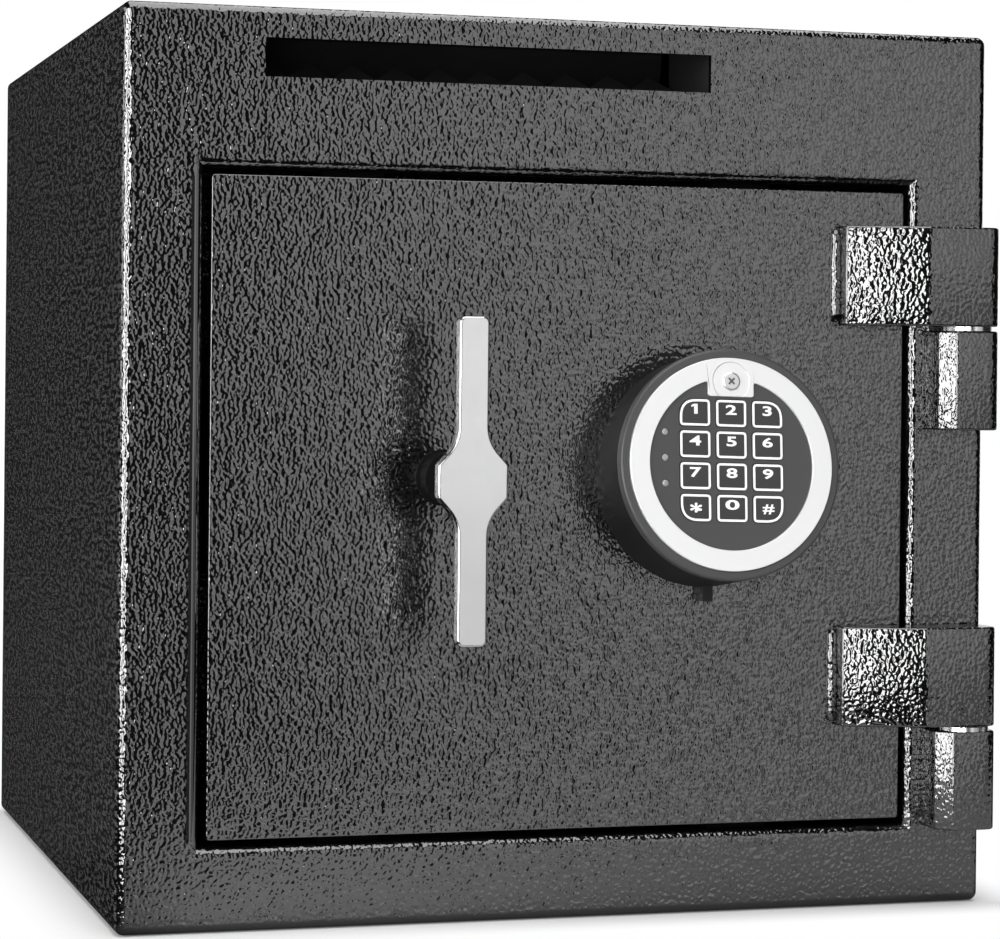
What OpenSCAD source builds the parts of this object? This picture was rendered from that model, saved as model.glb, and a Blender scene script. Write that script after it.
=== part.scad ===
// Front-drop depository safe: folded steel body with a drop slot, a hinged door with an
// electronic keypad lock, and a turning handle that throws three locking bolts.
// Millimetres. X runs right, Y runs into the safe, Z runs up. The origin lies on the
// underside, at the centre of the four anchor holes.
// Depths (named ..._d or passed as d) are counted from the outside of the front sheet.

/* [Body] */
// Width of the body
body_w = 356; // [340:1:420]
// Height of the body
body_h = 354; // [340:1:420]
// Depth of the body
body_d = 345; // [300:1:420]
// Thickness of the body sheet
sheet_t = 3; // [2:0.1:3.4]
// Outer radius of the folded body edges
edge_r = 3.5; // [3:0.1:6]
// Depth of the front frame's folded rim
rim_d = 15; // [10:1:25]
// Radius of an anchor hole
anchor_r = 6.5; // [4:0.5:8]
// Distance between anchor holes across the floor
anchor_x = 200; // [120:1:230]
// Distance between anchor holes front to back
anchor_y = 180; // [100:1:200]
// Thickness of the floor mat
mat_t = 3; // [1:0.5:6]
// Gap between the mat and the walls
mat_gap = 4; // [1:0.5:15]

/* [Drop slot] */
// Width of the slot
slot_w = 181; // [150:1:200]
// Height of the slot
slot_h = 15; // [12:0.5:15.5]
// Distance from the body's left side to the slot
slot_left = 54.8; // [40:0.1:80]
// Distance from the body's top to the slot
slot_drop = 12; // [11:0.5:14]
// Thickness of the tray and deflector sheet
tray_t = 1.5; // [1:0.1:2]
// Depth of the tray behind the front sheet
tray_d = 38; // [30:1:45]
// Height of the toothed comb above the tray
comb_h = 12.5; // [9:0.5:13]
// Backward lean of the comb, in degrees
comb_lean = 42; // [30:1:50]
// Pitch of the comb's teeth
tooth_pitch = 18; // [12:1:24]
// Height of a tooth
tooth_h = 8; // [5:0.5:9]
// Distance from the front to the deflector's foot on the roof
deflector_d = 88; // [75:1:110]
// Height that the deflector hangs below the roof
deflector_h = 52; // [40:1:54]
// Backward lean of the deflector, in degrees
deflector_lean = 14; // [5:1:25]

/* [Door] */
// Width of the frame left of the door
latch_margin = 34.4; // [30:0.1:45]
// Width of the frame right of the door
hinge_margin = 36.4; // [34:0.1:38]
// Height of the frame below the door
door_foot = 35.2; // [30:0.1:50]
// Height of the frame above the door
door_head = 64.8; // [62:0.1:75]
// Gap round the door
door_gap = 2.6; // [2.2:0.1:3.2]
// Thickness of the door plate
door_t = 6; // [5:0.5:8]
// Depth of the folded jamb round the opening
jamb_d = 20; // [16:0.5:24]
// Outer radius of the jamb's fold
fold_r = 4; // [3.5:0.1:6]
// Thickness of the strike bar behind the latch jamb
strike_t = 8; // [5:0.5:9]
// Thickness of the dead bar and its web
dead_t = 6; // [4:0.5:8]
// Length of the dead bar
dead_len = 205; // [150:1:220]
// Width that the dead bar reaches behind the hinge jamb
dead_reach = 5; // [3:0.5:7]
// Thickness of the mechanism cover
cover_t = 1.5; // [1:0.1:2]
// Depth of the mechanism cover's back
cover_d = 40; // [39.5:0.5:44]
// Width of the door plate left bare above and below the cover
cover_margin = 7.8; // [7.5:0.1:10]

/* [Hinges] */
// Distance from the body's right side to the hinge pins
pin_side = 13.5; // [12.5:0.1:14.5]
// Distance that the pins stand in front of the body
pin_out = 12.6; // [12.4:0.1:13.2]
// Radius of a hinge pin
pin_r = 4.5; // [3:0.1:5]
// Radius of the hinge barrel
barrel_r = 12; // [11:0.1:12.2]
// Distance that a hinge stands proud of the front
hinge_out = 19.4; // [19:0.1:20]
// Height of one hinge knuckle
knuckle_h = 40; // [30:0.5:45]
// Gap between a hinge's two knuckles
knuckle_gap = 1.8; // [1.2:0.1:2.5]
// Height of the lower hinge's foot above the door's lower edge
hinge_low = -3.2; // [-5:0.1:5]
// Distance from the door's upper edge to the head of the upper hinge
hinge_high = 14.2; // [8:0.1:30]
// Length of a hinge block's sloping face
block_len = 32; // [26:0.5:36]
// Proud height of a hinge block's thin end
block_thin = 8.7; // [6:0.1:12]
// Width of a hinge block's weld bead
weld_w = 3.6; // [2:0.1:4]
// Radius of the hinge's outer front edge
knuckle_r = 5.5; // [5:0.1:6]
// Chamfer of the fixed knuckle's inner front edge
knuckle_chamfer = 5.8; // [3:0.1:7]
// Radius of a hinge washer
washer_r = 9.9; // [7:0.1:11]

/* [Handle] */
// Distance from the door's left edge to the handle
handle_in = 92; // [88:0.5:100]
// Height of the handle above the door's middle
handle_up = 11.3; // [4:0.1:18]
// Length of the handle
handle_len = 124; // [100:1:150]
// Width of the handle's bar
bar_w = 11.5; // [9:0.1:14]
// Width of the handle's hub
hub_w = 27.2; // [22:0.1:32]
// Height of the hub's straight sides
hub_flat = 12.4; // [8:0.1:16]
// Radius of the flare from bar to hub
flare_r = 15; // [8:0.5:17]
// Thickness of the handle
handle_t = 6; // [5:0.5:12]
// Distance from the door to the back of the handle
handle_out = 38; // [28:0.5:45]
// Radius of the handle shaft
shaft_r = 7; // [6:0.1:8]
// Radius of the collar on the door
collar_r = 10; // [9:0.1:13]
// Length of the collar
collar_len = 12; // [6:0.5:20]
// Turn of the handle that throws the bolts, in degrees
handle_turn = 70; // [60:1:75]

/* [Bolt work] */
// Radius of a locking bolt
bolt_r = 8; // [6:0.1:8.4]
// Length of a locking bolt
bolt_len = 45; // [42:0.5:46]
// Height between locking bolts
bolt_pitch = 80; // [70:0.5:82]
// Travel of the locking bolts
bolt_travel = 22; // [18:0.5:23]
// Distance from the door's edge to a drawn bolt's tip
bolt_inset = 3; // [2.5:0.1:5]
// Clearance between a bolt and the jamb
bolt_gap = 1; // [0.5:0.1:1.5]
// Thickness of the carriage plate
carriage_t = 3; // [2:0.1:3.2]
// Thickness of the carriage's bolt flange
flange_t = 4; // [3:0.1:5]
// Thickness of the bolt guide bracket
guide_t = 3; // [2:0.1:4]
// Thickness of the cam
cam_t = 5; // [4:0.5:6]
// Radius of the cam's crank pin
crank_pin_r = 4; // [3:0.1:4.5]
// Radius of a guide stud's shoulder
stud_r = 4; // [3:0.1:4.5]
// Height of a guide stud above or below the door's middle
stud_up = 66; // [55:0.5:66]

/* [Lock] */
// Width of the lock case
lock_w = 60; // [52:0.5:64]
// Height of the lock case
lock_h = 84; // [76:0.5:90]
// Depth of the lock case
lock_d = 26; // [24:0.5:27]
// Wall of the lock case
lock_wall = 3; // [2:0.1:4]
// Thickness of the hard plate behind the lock
hard_t = 3; // [2.5:0.1:3.5]
// Width of the lock bolt
lock_bolt_w = 8; // [6:0.1:9]
// Depth of the lock bolt
lock_bolt_d = 12; // [9:0.5:13]
// Travel of the lock bolt
lock_travel = 10; // [8:0.5:11]
// Play between the thrown lock bolt and the carriage's lug
lug_gap = 1; // [0.5:0.1:2]
// Thickness of the carriage's lug
lug_t = 4; // [3:0.1:5]
// Radius of the lead between the keypad and the lock
lead_r = 2.5; // [1.5:0.1:3]

/* [Keypad] */
// Distance from the door's right edge to the keypad's centre
keypad_in = 84.9; // [82:0.1:90]
// Height of the keypad's centre above the door's middle
keypad_up = 17.6; // [11:0.1:23]
// Lean of the keypad back from the door, in degrees
keypad_lean = 7.7; // [0:0.1:9]
// Turn of the keypad on its screws, in degrees
keypad_turn = 1.5; // [-2:0.1:2]
// Radius of the keypad housing
keypad_r = 45.4; // [45.2:0.1:48]
// Depth of the keypad housing
keypad_out = 30; // [30:0.5:34]
// Wall of the keypad housing
keypad_wall = 3; // [2:0.1:3.2]
// Depth of the separate front bezel
bezel_d = 5; // [4.6:0.1:7]
// Outer radius of the silver ring
ring_r = 41.8; // [41:0.1:42.1]
// Inner radius of the silver ring
ring_in = 33.7; // [33.6:0.1:36]
// Height that the ring stands proud of the bezel
ring_proud = 1; // [0.4:0.1:2]
// Width of the ring's screw tab
tab_w = 19; // [14:0.5:22]
// Distance from the keypad's centre to the tab's lower edge
tab_low = 26.5; // [26:0.1:28]
// Distance from the keypad's centre to the face screw
screw_up = 32.5; // [31:0.1:35]
// Radius of the face screw's head
face_screw_r = 3.7; // [2.5:0.1:4.5]
// Width of a key
key_w = 12.8; // [10:0.1:13]
// Height of a key
key_h = 10.8; // [8:0.1:11]
// Distance between key columns
key_pitch_x = 15; // [14.5:0.1:16]
// Distance between key rows
key_pitch_z = 12.4; // [12.1:0.1:12.8]
// Height of the key field's middle above the keypad's centre
key_rise = 1.3; // [0:0.1:1.6]
// Travel of a key
key_travel = 0.8; // [0.4:0.1:1]
// Height that a key stands proud of the face
key_proud = 0.6; // [0.3:0.1:1.2]
// Radius of a key's small corners
key_r = 1.4; // [0.5:0.1:2]
// Radius of the outer corners of the four corner keys
key_corner_r = 6; // [2:0.1:7]
// Radius of an indicator lens
led_r = 1.4; // [1:0.1:1.8]
// Distance between indicator lenses
led_pitch = 10; // [6:0.1:12]
// Distance from the keypad's centre to the indicator column
led_in = 27.2; // [26:0.1:28]
// Length of the battery
battery_l = 48.5; // [46:0.5:49]
// Width of the battery
battery_w = 26.5; // [24:0.5:27]
// Thickness of the battery
battery_t = 17; // [15:0.5:17]

/* [Hidden] */
$fn = 48;

// Clearances
cut = 1;
fold_tail = 1;
fit = 0.05;
seat = 0.1;
slide_gap = 0.2;
crank_gap = 0.4;
window_gap = 1.5;
swing_gap = 1;
case_gap = 4;

// Frame, door and hinge places
front_y = -body_d / 2;
body_x = [-body_w / 2, body_w / 2];
door_x = [-body_w / 2 + latch_margin, body_w / 2 - hinge_margin];
door_z = [door_foot, body_h - door_head];
open_x = grow(door_x, door_gap);
open_z = grow(door_z, door_gap);
slot_x = [-body_w / 2 + slot_left, -body_w / 2 + slot_left + slot_w];
slot_z = [body_h - slot_drop - slot_h, body_h - slot_drop];
roof_z = body_h - sheet_t;
inside_x = grow(body_x, -sheet_t);
pin_x = body_w / 2 - pin_side;
hinge_zs = [door_z[0] + hinge_low, door_z[1] - hinge_high - 2 * knuckle_h - knuckle_gap];
pin_cap = 6;
knuckle_reach = 13.1;
slope_over = 3.3;
mat_hole_gap = 6;
strike_d = 12;
strike_in = 25;
stop_w = 24;
stop_h = 6.5;
stop_left = 45;
stop_right = 80;
tray_drop = 0.5;
lip_w = 10;
foot_w = 14;

// Handle and keypad places
handle_x = door_x[0] + handle_in;
handle_z = mid(door_z) + handle_up;
keypad_x = door_x[1] - keypad_in;
keypad_z = mid(door_z) + keypad_up;

// Depths of the layers behind the door plate
lock_case_d = [door_t + hard_t, door_t + hard_t + lock_d];
carriage_d = [door_t + 3, door_t + 3 + carriage_t];
cam_d = [carriage_d[1] + 0.5, carriage_d[1] + 0.5 + cam_t];
bolt_d = jamb_d + bolt_gap + bolt_r;

// Bolt work, drawn: the bolts, the carriage and the crank
guide_in = 9.5;
guide_foot = 12;
guide_foot_t = 2.5;
bolt_chamfer = 1.5;
bolt_screw_len = 16;
bolt_tip_x = door_x[0] + bolt_inset;
flange_x = [bolt_tip_x + bolt_len, bolt_tip_x + bolt_len + flange_t];
guide_x = from(door_x[0] + guide_in, 0, guide_t);
bolt_zs = [for (i = [-1:1]) mid(door_z) + i * bolt_pitch];
flange_z = grow([bolt_zs[0], bolt_zs[2]], 16);
crank_r = bolt_travel / 2 / sin(handle_turn / 2);
crank_z = handle_z + crank_r * cos(handle_turn / 2);
crank_x = handle_x + bolt_travel / 2;
tail_r = 6;
cam_hub_r = 11;
cam_rim = 3;
nut_r = 7.5;
nut_h = 6;
nut_flange_t = 1.2;
collar_lip = 1;
socket_d = 3;
thread_r = 4;
stud_x = flange_x[1] + 11.5;
stud_zs = [mid(door_z) - stud_up, mid(door_z) + stud_up + 8];
stud_head_r = 7.5;

// Lock, cover and their screws
lock_x = about(keypad_x, lock_w);
lock_z = about(keypad_z, lock_h);
lock_bolt_x = about(keypad_x, lock_bolt_w);
lock_cover_t = 2;
lock_bolt_h = 23;
plunger_in = 9;
plunger_len = 25;
plunger_r = 2.5;
coil_r = 8.5;
lug_x = [lock_bolt_x[0] - lug_gap - lug_t + bolt_travel, lock_bolt_x[0] - lug_gap + bolt_travel];
lug_z = [lock_z[0] - 25, lock_z[0] - case_gap];
lead_x = keypad_x + lock_w / 4;
screw_r = 3;
screw_head_r = 5;
lock_screw_in = 7;
lock_screw_tip = 2.5;
hex_r = 2.6;
cover_z = grow(door_z, -cover_margin);
cover_x = [guide_x[1], door_x[1] - 25.5];
post_r = 5;
post_in = 9;
cover_screw_len = 12;
post_xs = [guide_x[1] + 30, cover_x[1] - 14];
post_places = [for (x = post_xs, z = grow(cover_z, -post_in)) [x, z]];
dead_web_x = [cover_x[1] + 4, cover_x[1] + 4 + dead_t];
dead_edge_x = open_x[1] + sheet_t + dead_reach;
corner_swing = norm([pin_x - open_x[1], jamb_d + pin_out]);
dead_d = sqrt(pow(corner_swing + swing_gap, 2) - pow(pin_x - dead_edge_x, 2)) - pin_out;

// Keypad layers, counted outwards from the door
face_d = [-keypad_out + 1.5, -keypad_out + 3.5];
flange_d = 1;
board_t = 1.6;
board_d = face_d[1] + 0.3 + flange_d + key_travel + 0.2;
board_r = keypad_r - keypad_wall - 0.5;
ledge_w = 4;
floor_t = 2.5;
mount_screw_in = 30;
mount_screw_r = 2;
mount_screw_up = 10;
face_thread_r = 1.6;
screw_tip_d = board_d + 14;
skirt_t = 1.4;
nub_w = 4;
nub_left = 2.7;
nub_d = 7;
nub_drop = 9.8;
nub_sunk = 2.1;
key_gap = 0.15;
key_rim = 0.5;
key_rows = [["key_1", "key_2", "key_3"], ["key_4", "key_5", "key_6"],
    ["key_7", "key_8", "key_9"], ["key_star", "key_0", "key_hash"]];

steel = "silver";
paint = [0.33, 0.33, 0.34];
inner_paint = [0.42, 0.42, 0.43];
plastic = [0.12, 0.12, 0.13];

function grow(span, by) = [span[0] - by, span[1] + by];
function mid(span) = (span[0] + span[1]) / 2;
function about(middle, width) = [middle - width / 2, middle + width / 2];
function from(start, low, high) = [start + low, start + high];
function arc(cx, cy, r, from, to, steps = 8) =
    [for (i = [0:steps])
        let (a = from + (to - from) * i / steps)
        [cx + r * cos(a), cy + r * sin(a)]];

// A block between low and high values of x, depth and z
module block(x, d, z) {
    translate([x[0], front_y + d[0], z[0]])
        cube([x[1] - x[0], d[1] - d[0], z[1] - z[0]]);
}

// A round bar along the depth
module rod_y(x, z, d, r) {
    translate([x, front_y + d[0], z])
        rotate([-90, 0, 0])
            cylinder(r = r, h = d[1] - d[0]);
}

// A round bar across the width
module rod_x(x, d, z, r) {
    translate([x[0], front_y + d, z])
        rotate([0, 90, 0])
            cylinder(r = r, h = x[1] - x[0]);
}

// A round bar up the height
module rod_z(x, d, z, r) {
    translate([x, front_y + d, z[0]])
        cylinder(r = r, h = z[1] - z[0]);
}

// An outline seen from the front, extruded between two depths
module face_y(d) {
    translate([0, front_y + d[1], 0])
        rotate([90, 0, 0])
            linear_extrude(d[1] - d[0])
                children();
}

// An outline seen from above, with depth as its second axis, extruded between two heights
module plan_z(z) {
    translate([0, front_y, z[0]])
        linear_extrude(z[1] - z[0])
            children();
}

// An outline seen from the side, with depth and height as its axes, extruded along x
module side_x(x) {
    translate([x[0], front_y, 0])
        rotate([90, 0, 90])
            linear_extrude(x[1] - x[0])
                children();
}

// A rectangle between two spans
module patch(x, z) {
    translate([x[0], z[0]])
        square([x[1] - x[0], z[1] - z[0]]);
}

// The body's outer outline with its folded edges
module body_outline() {
    patch(grow(body_x, -edge_r), [0, body_h]);
    patch(body_x, grow([0, body_h], -edge_r));
    for (x = [-1, 1], z = [edge_r, body_h - edge_r])
        translate([x * (body_w / 2 - edge_r), z])
            circle(edge_r);
}

// The front frame's outside: the body outline with its front edges rolled over
module frame_outside() {
    inner_x = grow(body_x, -edge_r);
    inner_z = grow([0, body_h], -edge_r);
    face_y([edge_r, rim_d])
        body_outline();
    block(inner_x, [0, edge_r], inner_z);
    for (x = inner_x)
        rod_z(x, edge_r, inner_z, edge_r);
    for (z = inner_z)
        rod_x(inner_x, edge_r, z, edge_r);
    for (x = inner_x, z = inner_z)
        translate([x, front_y + edge_r, z])
            sphere(edge_r);
}

// One fold of the jamb in section: u runs away from the opening, v into the safe.
// Its tail lies in the front sheet.
module jamb_section() {
    translate([0, fold_r])
        square([sheet_t, jamb_d - fold_r]);
    translate([fold_r, 0])
        square([fold_tail, sheet_t]);
    intersection() {
        square([fold_r, fold_r]);
        difference() {
            translate([fold_r, fold_r])
                circle(fold_r);
            translate([fold_r, fold_r])
                circle(max(fold_r - sheet_t, 0.1));
        }
    }
}

// Jamb folds down the sides and along the top and foot of the opening
module jamb() {
    plan_z(grow(open_z, sheet_t)) {
        translate([open_x[1], 0])
            jamb_section();
        translate([open_x[0], 0])
            mirror([1, 0])
                jamb_section();
    }
    side_x(grow(open_x, sheet_t)) {
        translate([0, open_z[1]])
            mirror([1, -1])
                jamb_section();
        translate([0, open_z[0]])
            rotate(-90)
                jamb_section();
    }
}

module front_frame() {
    color(paint) {
        difference() {
            frame_outside();
            block(inside_x, [sheet_t, rim_d + cut], [sheet_t, roof_z]);
            block(grow(open_x, fold_r), [-cut, sheet_t + cut], grow(open_z, fold_r));
            block(slot_x, [-cut, sheet_t + cut], slot_z);
        }
        jamb();
        jamb_corners();
    }
}

// The small squares where two folds of the jamb meet
module jamb_corners() {
    intersection() {
        union() {
            plan_z(grow(open_z, fold_r)) {
                translate([open_x[1], 0])
                    jamb_section();
                translate([open_x[0], 0])
                    mirror([1, 0])
                        jamb_section();
            }
            side_x(grow(open_x, fold_r)) {
                translate([0, open_z[1]])
                    mirror([1, -1])
                        jamb_section();
                translate([0, open_z[0]])
                    rotate(-90)
                        jamb_section();
            }
        }
        block(grow(open_x, fold_r), [0, fold_r], grow(open_z, fold_r));
    }
}

module body_wrap() {
    color(paint)
        difference() {
            face_y([rim_d, body_d])
                body_outline();
            block(inside_x, [rim_d - cut, body_d + cut], [sheet_t, roof_z]);
            anchor_holes([-cut, sheet_t + cut], anchor_r);
        }
}

module anchor_holes(z, r) {
    for (x = [-1, 1], y = [-1, 1])
        translate([x * anchor_x / 2, y * anchor_y / 2, z[0]])
            cylinder(r = r, h = z[1] - z[0]);
}

module back_panel() {
    color(paint)
        block(inside_x, [body_d - sheet_t, body_d], [sheet_t, roof_z]);
}

module floor_mat() {
    mat_x = grow(body_x, -sheet_t - mat_gap);
    color([0.16, 0.16, 0.17])
        difference() {
            block(mat_x, [rim_d + mat_gap, body_d - sheet_t - mat_gap], [sheet_t, sheet_t + mat_t]);
            anchor_holes([0, sheet_t + mat_t + cut], anchor_r + mat_hole_gap);
        }
}

// The bar welded behind the latch jamb that the locking bolts catch
module strike_bar() {
    strike_x = from(open_x[0] - sheet_t, -strike_t, 0);
    color(inner_paint)
        block(strike_x, [jamb_d - strike_d, jamb_d], grow(door_z, -strike_in));
}

// Four blocks on the jamb that the closed door rests against
module door_stops() {
    stop_d = [door_t + 0.4, jamb_d - 4];
    color(inner_paint)
        for (x = [door_x[0] + stop_left, door_x[1] - stop_right]) {
            block(from(x, 0, stop_w), stop_d, from(open_z[1], -stop_h, 0));
            block(from(x, 0, stop_w), stop_d, from(open_z[0], 0, stop_h));
        }
}

// The tray behind the slot, hung from the roof by its two cheeks
module slot_tray() {
    tray_z = from(slot_z[0] - tray_drop, -tray_t, 0);
    cheek_d = [sheet_t, tray_d + comb_h];
    color(inner_paint) {
        block(slot_x, [sheet_t, tray_d], tray_z);
        for (x = [[slot_x[0] - tray_t, slot_x[0]], [slot_x[1], slot_x[1] + tray_t]])
            block(x, cheek_d, [tray_z[0], roof_z]);
        block(from(slot_x[0], -lip_w, 0), cheek_d, [roof_z - tray_t, roof_z]);
        block(from(slot_x[1], 0, lip_w), cheek_d, [roof_z - tray_t, roof_z]);
    }
}

// The saw-toothed comb that lets mail in and holds it back
module tooth_comb() {
    count = floor(slot_w / tooth_pitch);
    side = (slot_w - count * tooth_pitch) / 2;
    slope = comb_h / cos(comb_lean);
    color(inner_paint)
        translate([slot_x[0], front_y + tray_d, slot_z[0] - tray_drop - tray_t])
            rotate([90 - comb_lean, 0, 0])
                translate([0, 0, -tray_t])
                    linear_extrude(tray_t)
                        polygon(concat([[0, 0], [0, slope - tooth_h], [side, slope - tooth_h]],
                            [for (i = [0:count - 1]) each [[side + (i + 0.5) * tooth_pitch, slope],
                                [side + (i + 1) * tooth_pitch, slope - tooth_h]]],
                            [[slot_w, slope - tooth_h], [slot_w, 0]]));
}

// The sheet that hangs behind the comb and turns mail downwards
module deflector() {
    lean = deflector_h * tan(deflector_lean);
    color(inner_paint)
        side_x(grow(slot_x, lip_w))
            polygon([[deflector_d, roof_z], [deflector_d + lean, roof_z - deflector_h],
                [deflector_d + lean + tray_t, roof_z - deflector_h],
                [deflector_d + tray_t, roof_z - tray_t],
                [deflector_d + foot_w, roof_z - tray_t], [deflector_d + foot_w, roof_z]]);
}

// Front-right corner of a knuckle in plan: rounded in front, square to depth d at the back
module knuckle_nose(x0, d) {
    right = pin_x + barrel_r;
    patch([x0, right - knuckle_r], [-hinge_out, d]);
    patch([x0, right], [-hinge_out + knuckle_r, d]);
    translate([right - knuckle_r, -hinge_out + knuckle_r])
        circle(knuckle_r);
}

module fixed_knuckle(z0) {
    left = pin_x - knuckle_reach;
    color(paint)
        difference() {
            plan_z([z0, z0 + knuckle_h])
                difference() {
                    knuckle_nose(left, 0);
                    translate([left, -hinge_out])
                        rotate(45)
                            square(knuckle_chamfer * sqrt(2), center = true);
                }
            rod_z(pin_x, -pin_out, [z0 + pin_cap, z0 + knuckle_h + cut], pin_r + fit / 2);
        }
}

module hinge_block(z0) {
    slope_end = door_x[1] + slope_over;
    left = slope_end - block_len;
    rear = barrel_r - pin_out;
    color(paint)
        difference() {
            plan_z([z0, z0 + knuckle_h]) {
                polygon([[left - weld_w, 0], [left, -weld_w], [left, -block_thin], [slope_end, -hinge_out],
                    [pin_x, -hinge_out], [pin_x, rear], [door_x[1], rear], [door_x[1], 0]]);
                knuckle_nose(pin_x - 1, -pin_out);
                intersection() {
                    translate([pin_x, -pin_out])
                        circle(barrel_r);
                    patch(from(pin_x, -1, barrel_r), [-pin_out - 1, rear]);
                }
            }
            rod_z(pin_x, -pin_out, [z0 - cut, z0 + knuckle_h - pin_cap], pin_r + fit);
        }
}

module fixed_knuckle_upper() { fixed_knuckle(hinge_zs[1]); }
module fixed_knuckle_lower() { fixed_knuckle(hinge_zs[0]); }
module hinge_block_upper() { hinge_block(hinge_zs[1] + knuckle_h + knuckle_gap); }
module hinge_block_lower() { hinge_block(hinge_zs[0] + knuckle_h + knuckle_gap); }

module hinge_pins() {
    color(steel)
        for (z = hinge_zs)
            rod_z(pin_x, -pin_out, from(z, pin_cap, 2 * knuckle_h + knuckle_gap - pin_cap - cut), pin_r);
}

module hinge_washers() {
    color("gainsboro")
        for (z = hinge_zs)
            difference() {
                rod_z(pin_x, -pin_out, [z + knuckle_h, z + knuckle_h + knuckle_gap - seat], washer_r);
                rod_z(pin_x, -pin_out, [z + knuckle_h - cut, z + knuckle_h + knuckle_gap], pin_r + fit);
            }
}

module door_plate() {
    color(paint)
        difference() {
            block(door_x, [0, door_t], door_z);
            rod_y(handle_x, handle_z, [-cut, door_t + cut], shaft_r + fit);
            rod_y(lead_x, keypad_z, [-cut, door_t + cut], lead_r + cut);
            mount_screw_rods([-cut, door_t - cut], mount_screw_r + fit);
            lock_screw_rods([lock_screw_tip - 0.5, door_t + cut], screw_r + fit);
        }
}

// The two places of the screws that hold the keypad to the door
module mount_screw_rods(d, r) {
    for (x = [-1, 1])
        rod_y(keypad_x + x * mount_screw_in, keypad_z + mount_screw_up, d, r);
}

// The four places of the lock's mounting screws
module lock_screw_rods(d, r) {
    for (x = grow(lock_x, -lock_screw_in), z = grow(lock_z, -lock_screw_in))
        rod_y(x, z, d, r);
}

module dead_bar() {
    bar_z = [mid(door_z) - dead_len / 2, mid(door_z) + dead_len / 2];
    color(inner_paint) {
        block(dead_web_x, [door_t, dead_d + dead_t], bar_z);
        block([dead_web_x[0], dead_edge_x], [dead_d, dead_d + dead_t], bar_z);
    }
}

module bolt_guide() {
    color(inner_paint)
        difference() {
            union() {
                block(guide_x, [door_t, cover_d + cover_t], cover_z);
                block([guide_x[0], guide_x[1] + guide_foot], [door_t, door_t + guide_foot_t], cover_z);
            }
            for (z = bolt_zs)
                rod_x(grow(guide_x, cut), bolt_d, z, bolt_r + fit);
        }
}

module hard_plate() {
    color("dimgray")
        difference() {
            block(grow(lock_x, 4), [door_t, door_t + hard_t], [lock_z[0], lock_z[1] + 4]);
            rod_y(lead_x, keypad_z, [door_t - cut, door_t + hard_t + cut], lead_r + cut);
            lock_screw_rods([door_t - cut, door_t + hard_t + cut], screw_r + fit);
        }
}

module lock_case() {
    hollow_x = grow(lock_x, -lock_wall);
    hollow_z = grow(lock_z, -lock_wall);
    color("gray")
        difference() {
            block(lock_x, lock_case_d, lock_z);
            difference() {
                block(hollow_x, [lock_case_d[0] + lock_wall, lock_case_d[1] + cut], hollow_z);
                lock_screw_rods([lock_case_d[0], lock_case_d[1] + cut], screw_head_r + 1.5);
            }
            lock_screw_rods([lock_case_d[0] - cut, lock_case_d[1] + cut], screw_r + fit);
            rod_y(lead_x, keypad_z, [lock_case_d[0] - cut, lock_case_d[0] + lock_wall + cut], lead_r + fit);
            block(grow(lock_bolt_x, seat), from(lock_case_d[0] + lock_wall, 0, lock_bolt_d + 2 * seat),
                from(lock_z[0], -cut, lock_wall + cut));
        }
}

module lock_cover() {
    color(steel)
        difference() {
            block(lock_x, [lock_case_d[1], lock_case_d[1] + lock_cover_t], lock_z);
            lock_screw_rods([lock_case_d[1] - cut, lock_case_d[1] + lock_cover_t + cut], screw_r + fit);
        }
}

module lock_screws() {
    head_d = lock_case_d[1] + lock_cover_t;
    color(steel)
        difference() {
            union() {
                lock_screw_rods([lock_screw_tip, head_d], screw_r);
                lock_screw_rods([head_d, head_d + 3], screw_head_r);
            }
            for (x = grow(lock_x, -lock_screw_in), z = grow(lock_z, -lock_screw_in))
                translate([x, front_y + head_d + 1.5, z])
                    rotate([-90, 0, 0])
                        cylinder(r = hex_r, h = 2, $fn = 6);
        }
}

// The bolt that blocks the carriage, with the solenoid's plunger as its tail
module lock_bolt() {
    bolt_lo_d = lock_case_d[0] + lock_wall + seat;
    color("goldenrod") {
        block(lock_bolt_x, from(bolt_lo_d, 0, lock_bolt_d), from(lock_z[0], 0, lock_bolt_h));
        rod_z(keypad_x, bolt_lo_d + plunger_in,
            from(lock_z[0], lock_bolt_h - cut, lock_bolt_h + plunger_len), plunger_r);
    }
}

module solenoid() {
    floor_d = lock_case_d[0] + lock_wall;
    coil_z = from(lock_z[0], lock_bolt_h + 9, lock_bolt_h + 41);
    color([0.5, 0.2, 0.12])
        difference() {
            union() {
                rod_z(keypad_x, floor_d + plunger_in, coil_z, coil_r);
                block(about(keypad_x, 2 * coil_r), from(floor_d, 0, plunger_in), coil_z);
            }
            rod_z(keypad_x, floor_d + plunger_in + seat, [coil_z[0] - cut, coil_z[1] - 6], plunger_r + seat);
        }
}

module lock_board() {
    floor_d = lock_case_d[0] + lock_wall;
    color("darkgreen")
        block(from(lead_x, -4, 11), from(floor_d, 0, board_t), grow(lock_z, -18));
}

// The lead runs from the back of the keypad's board to the lock's board
module lock_lead() {
    color([0.1, 0.1, 0.1])
        difference() {
            rod_y(lead_x, keypad_z, [board_d + board_t / 2, lock_case_d[0] + lock_wall], lead_r);
            leaned()
                board_disc();
        }
}

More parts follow.
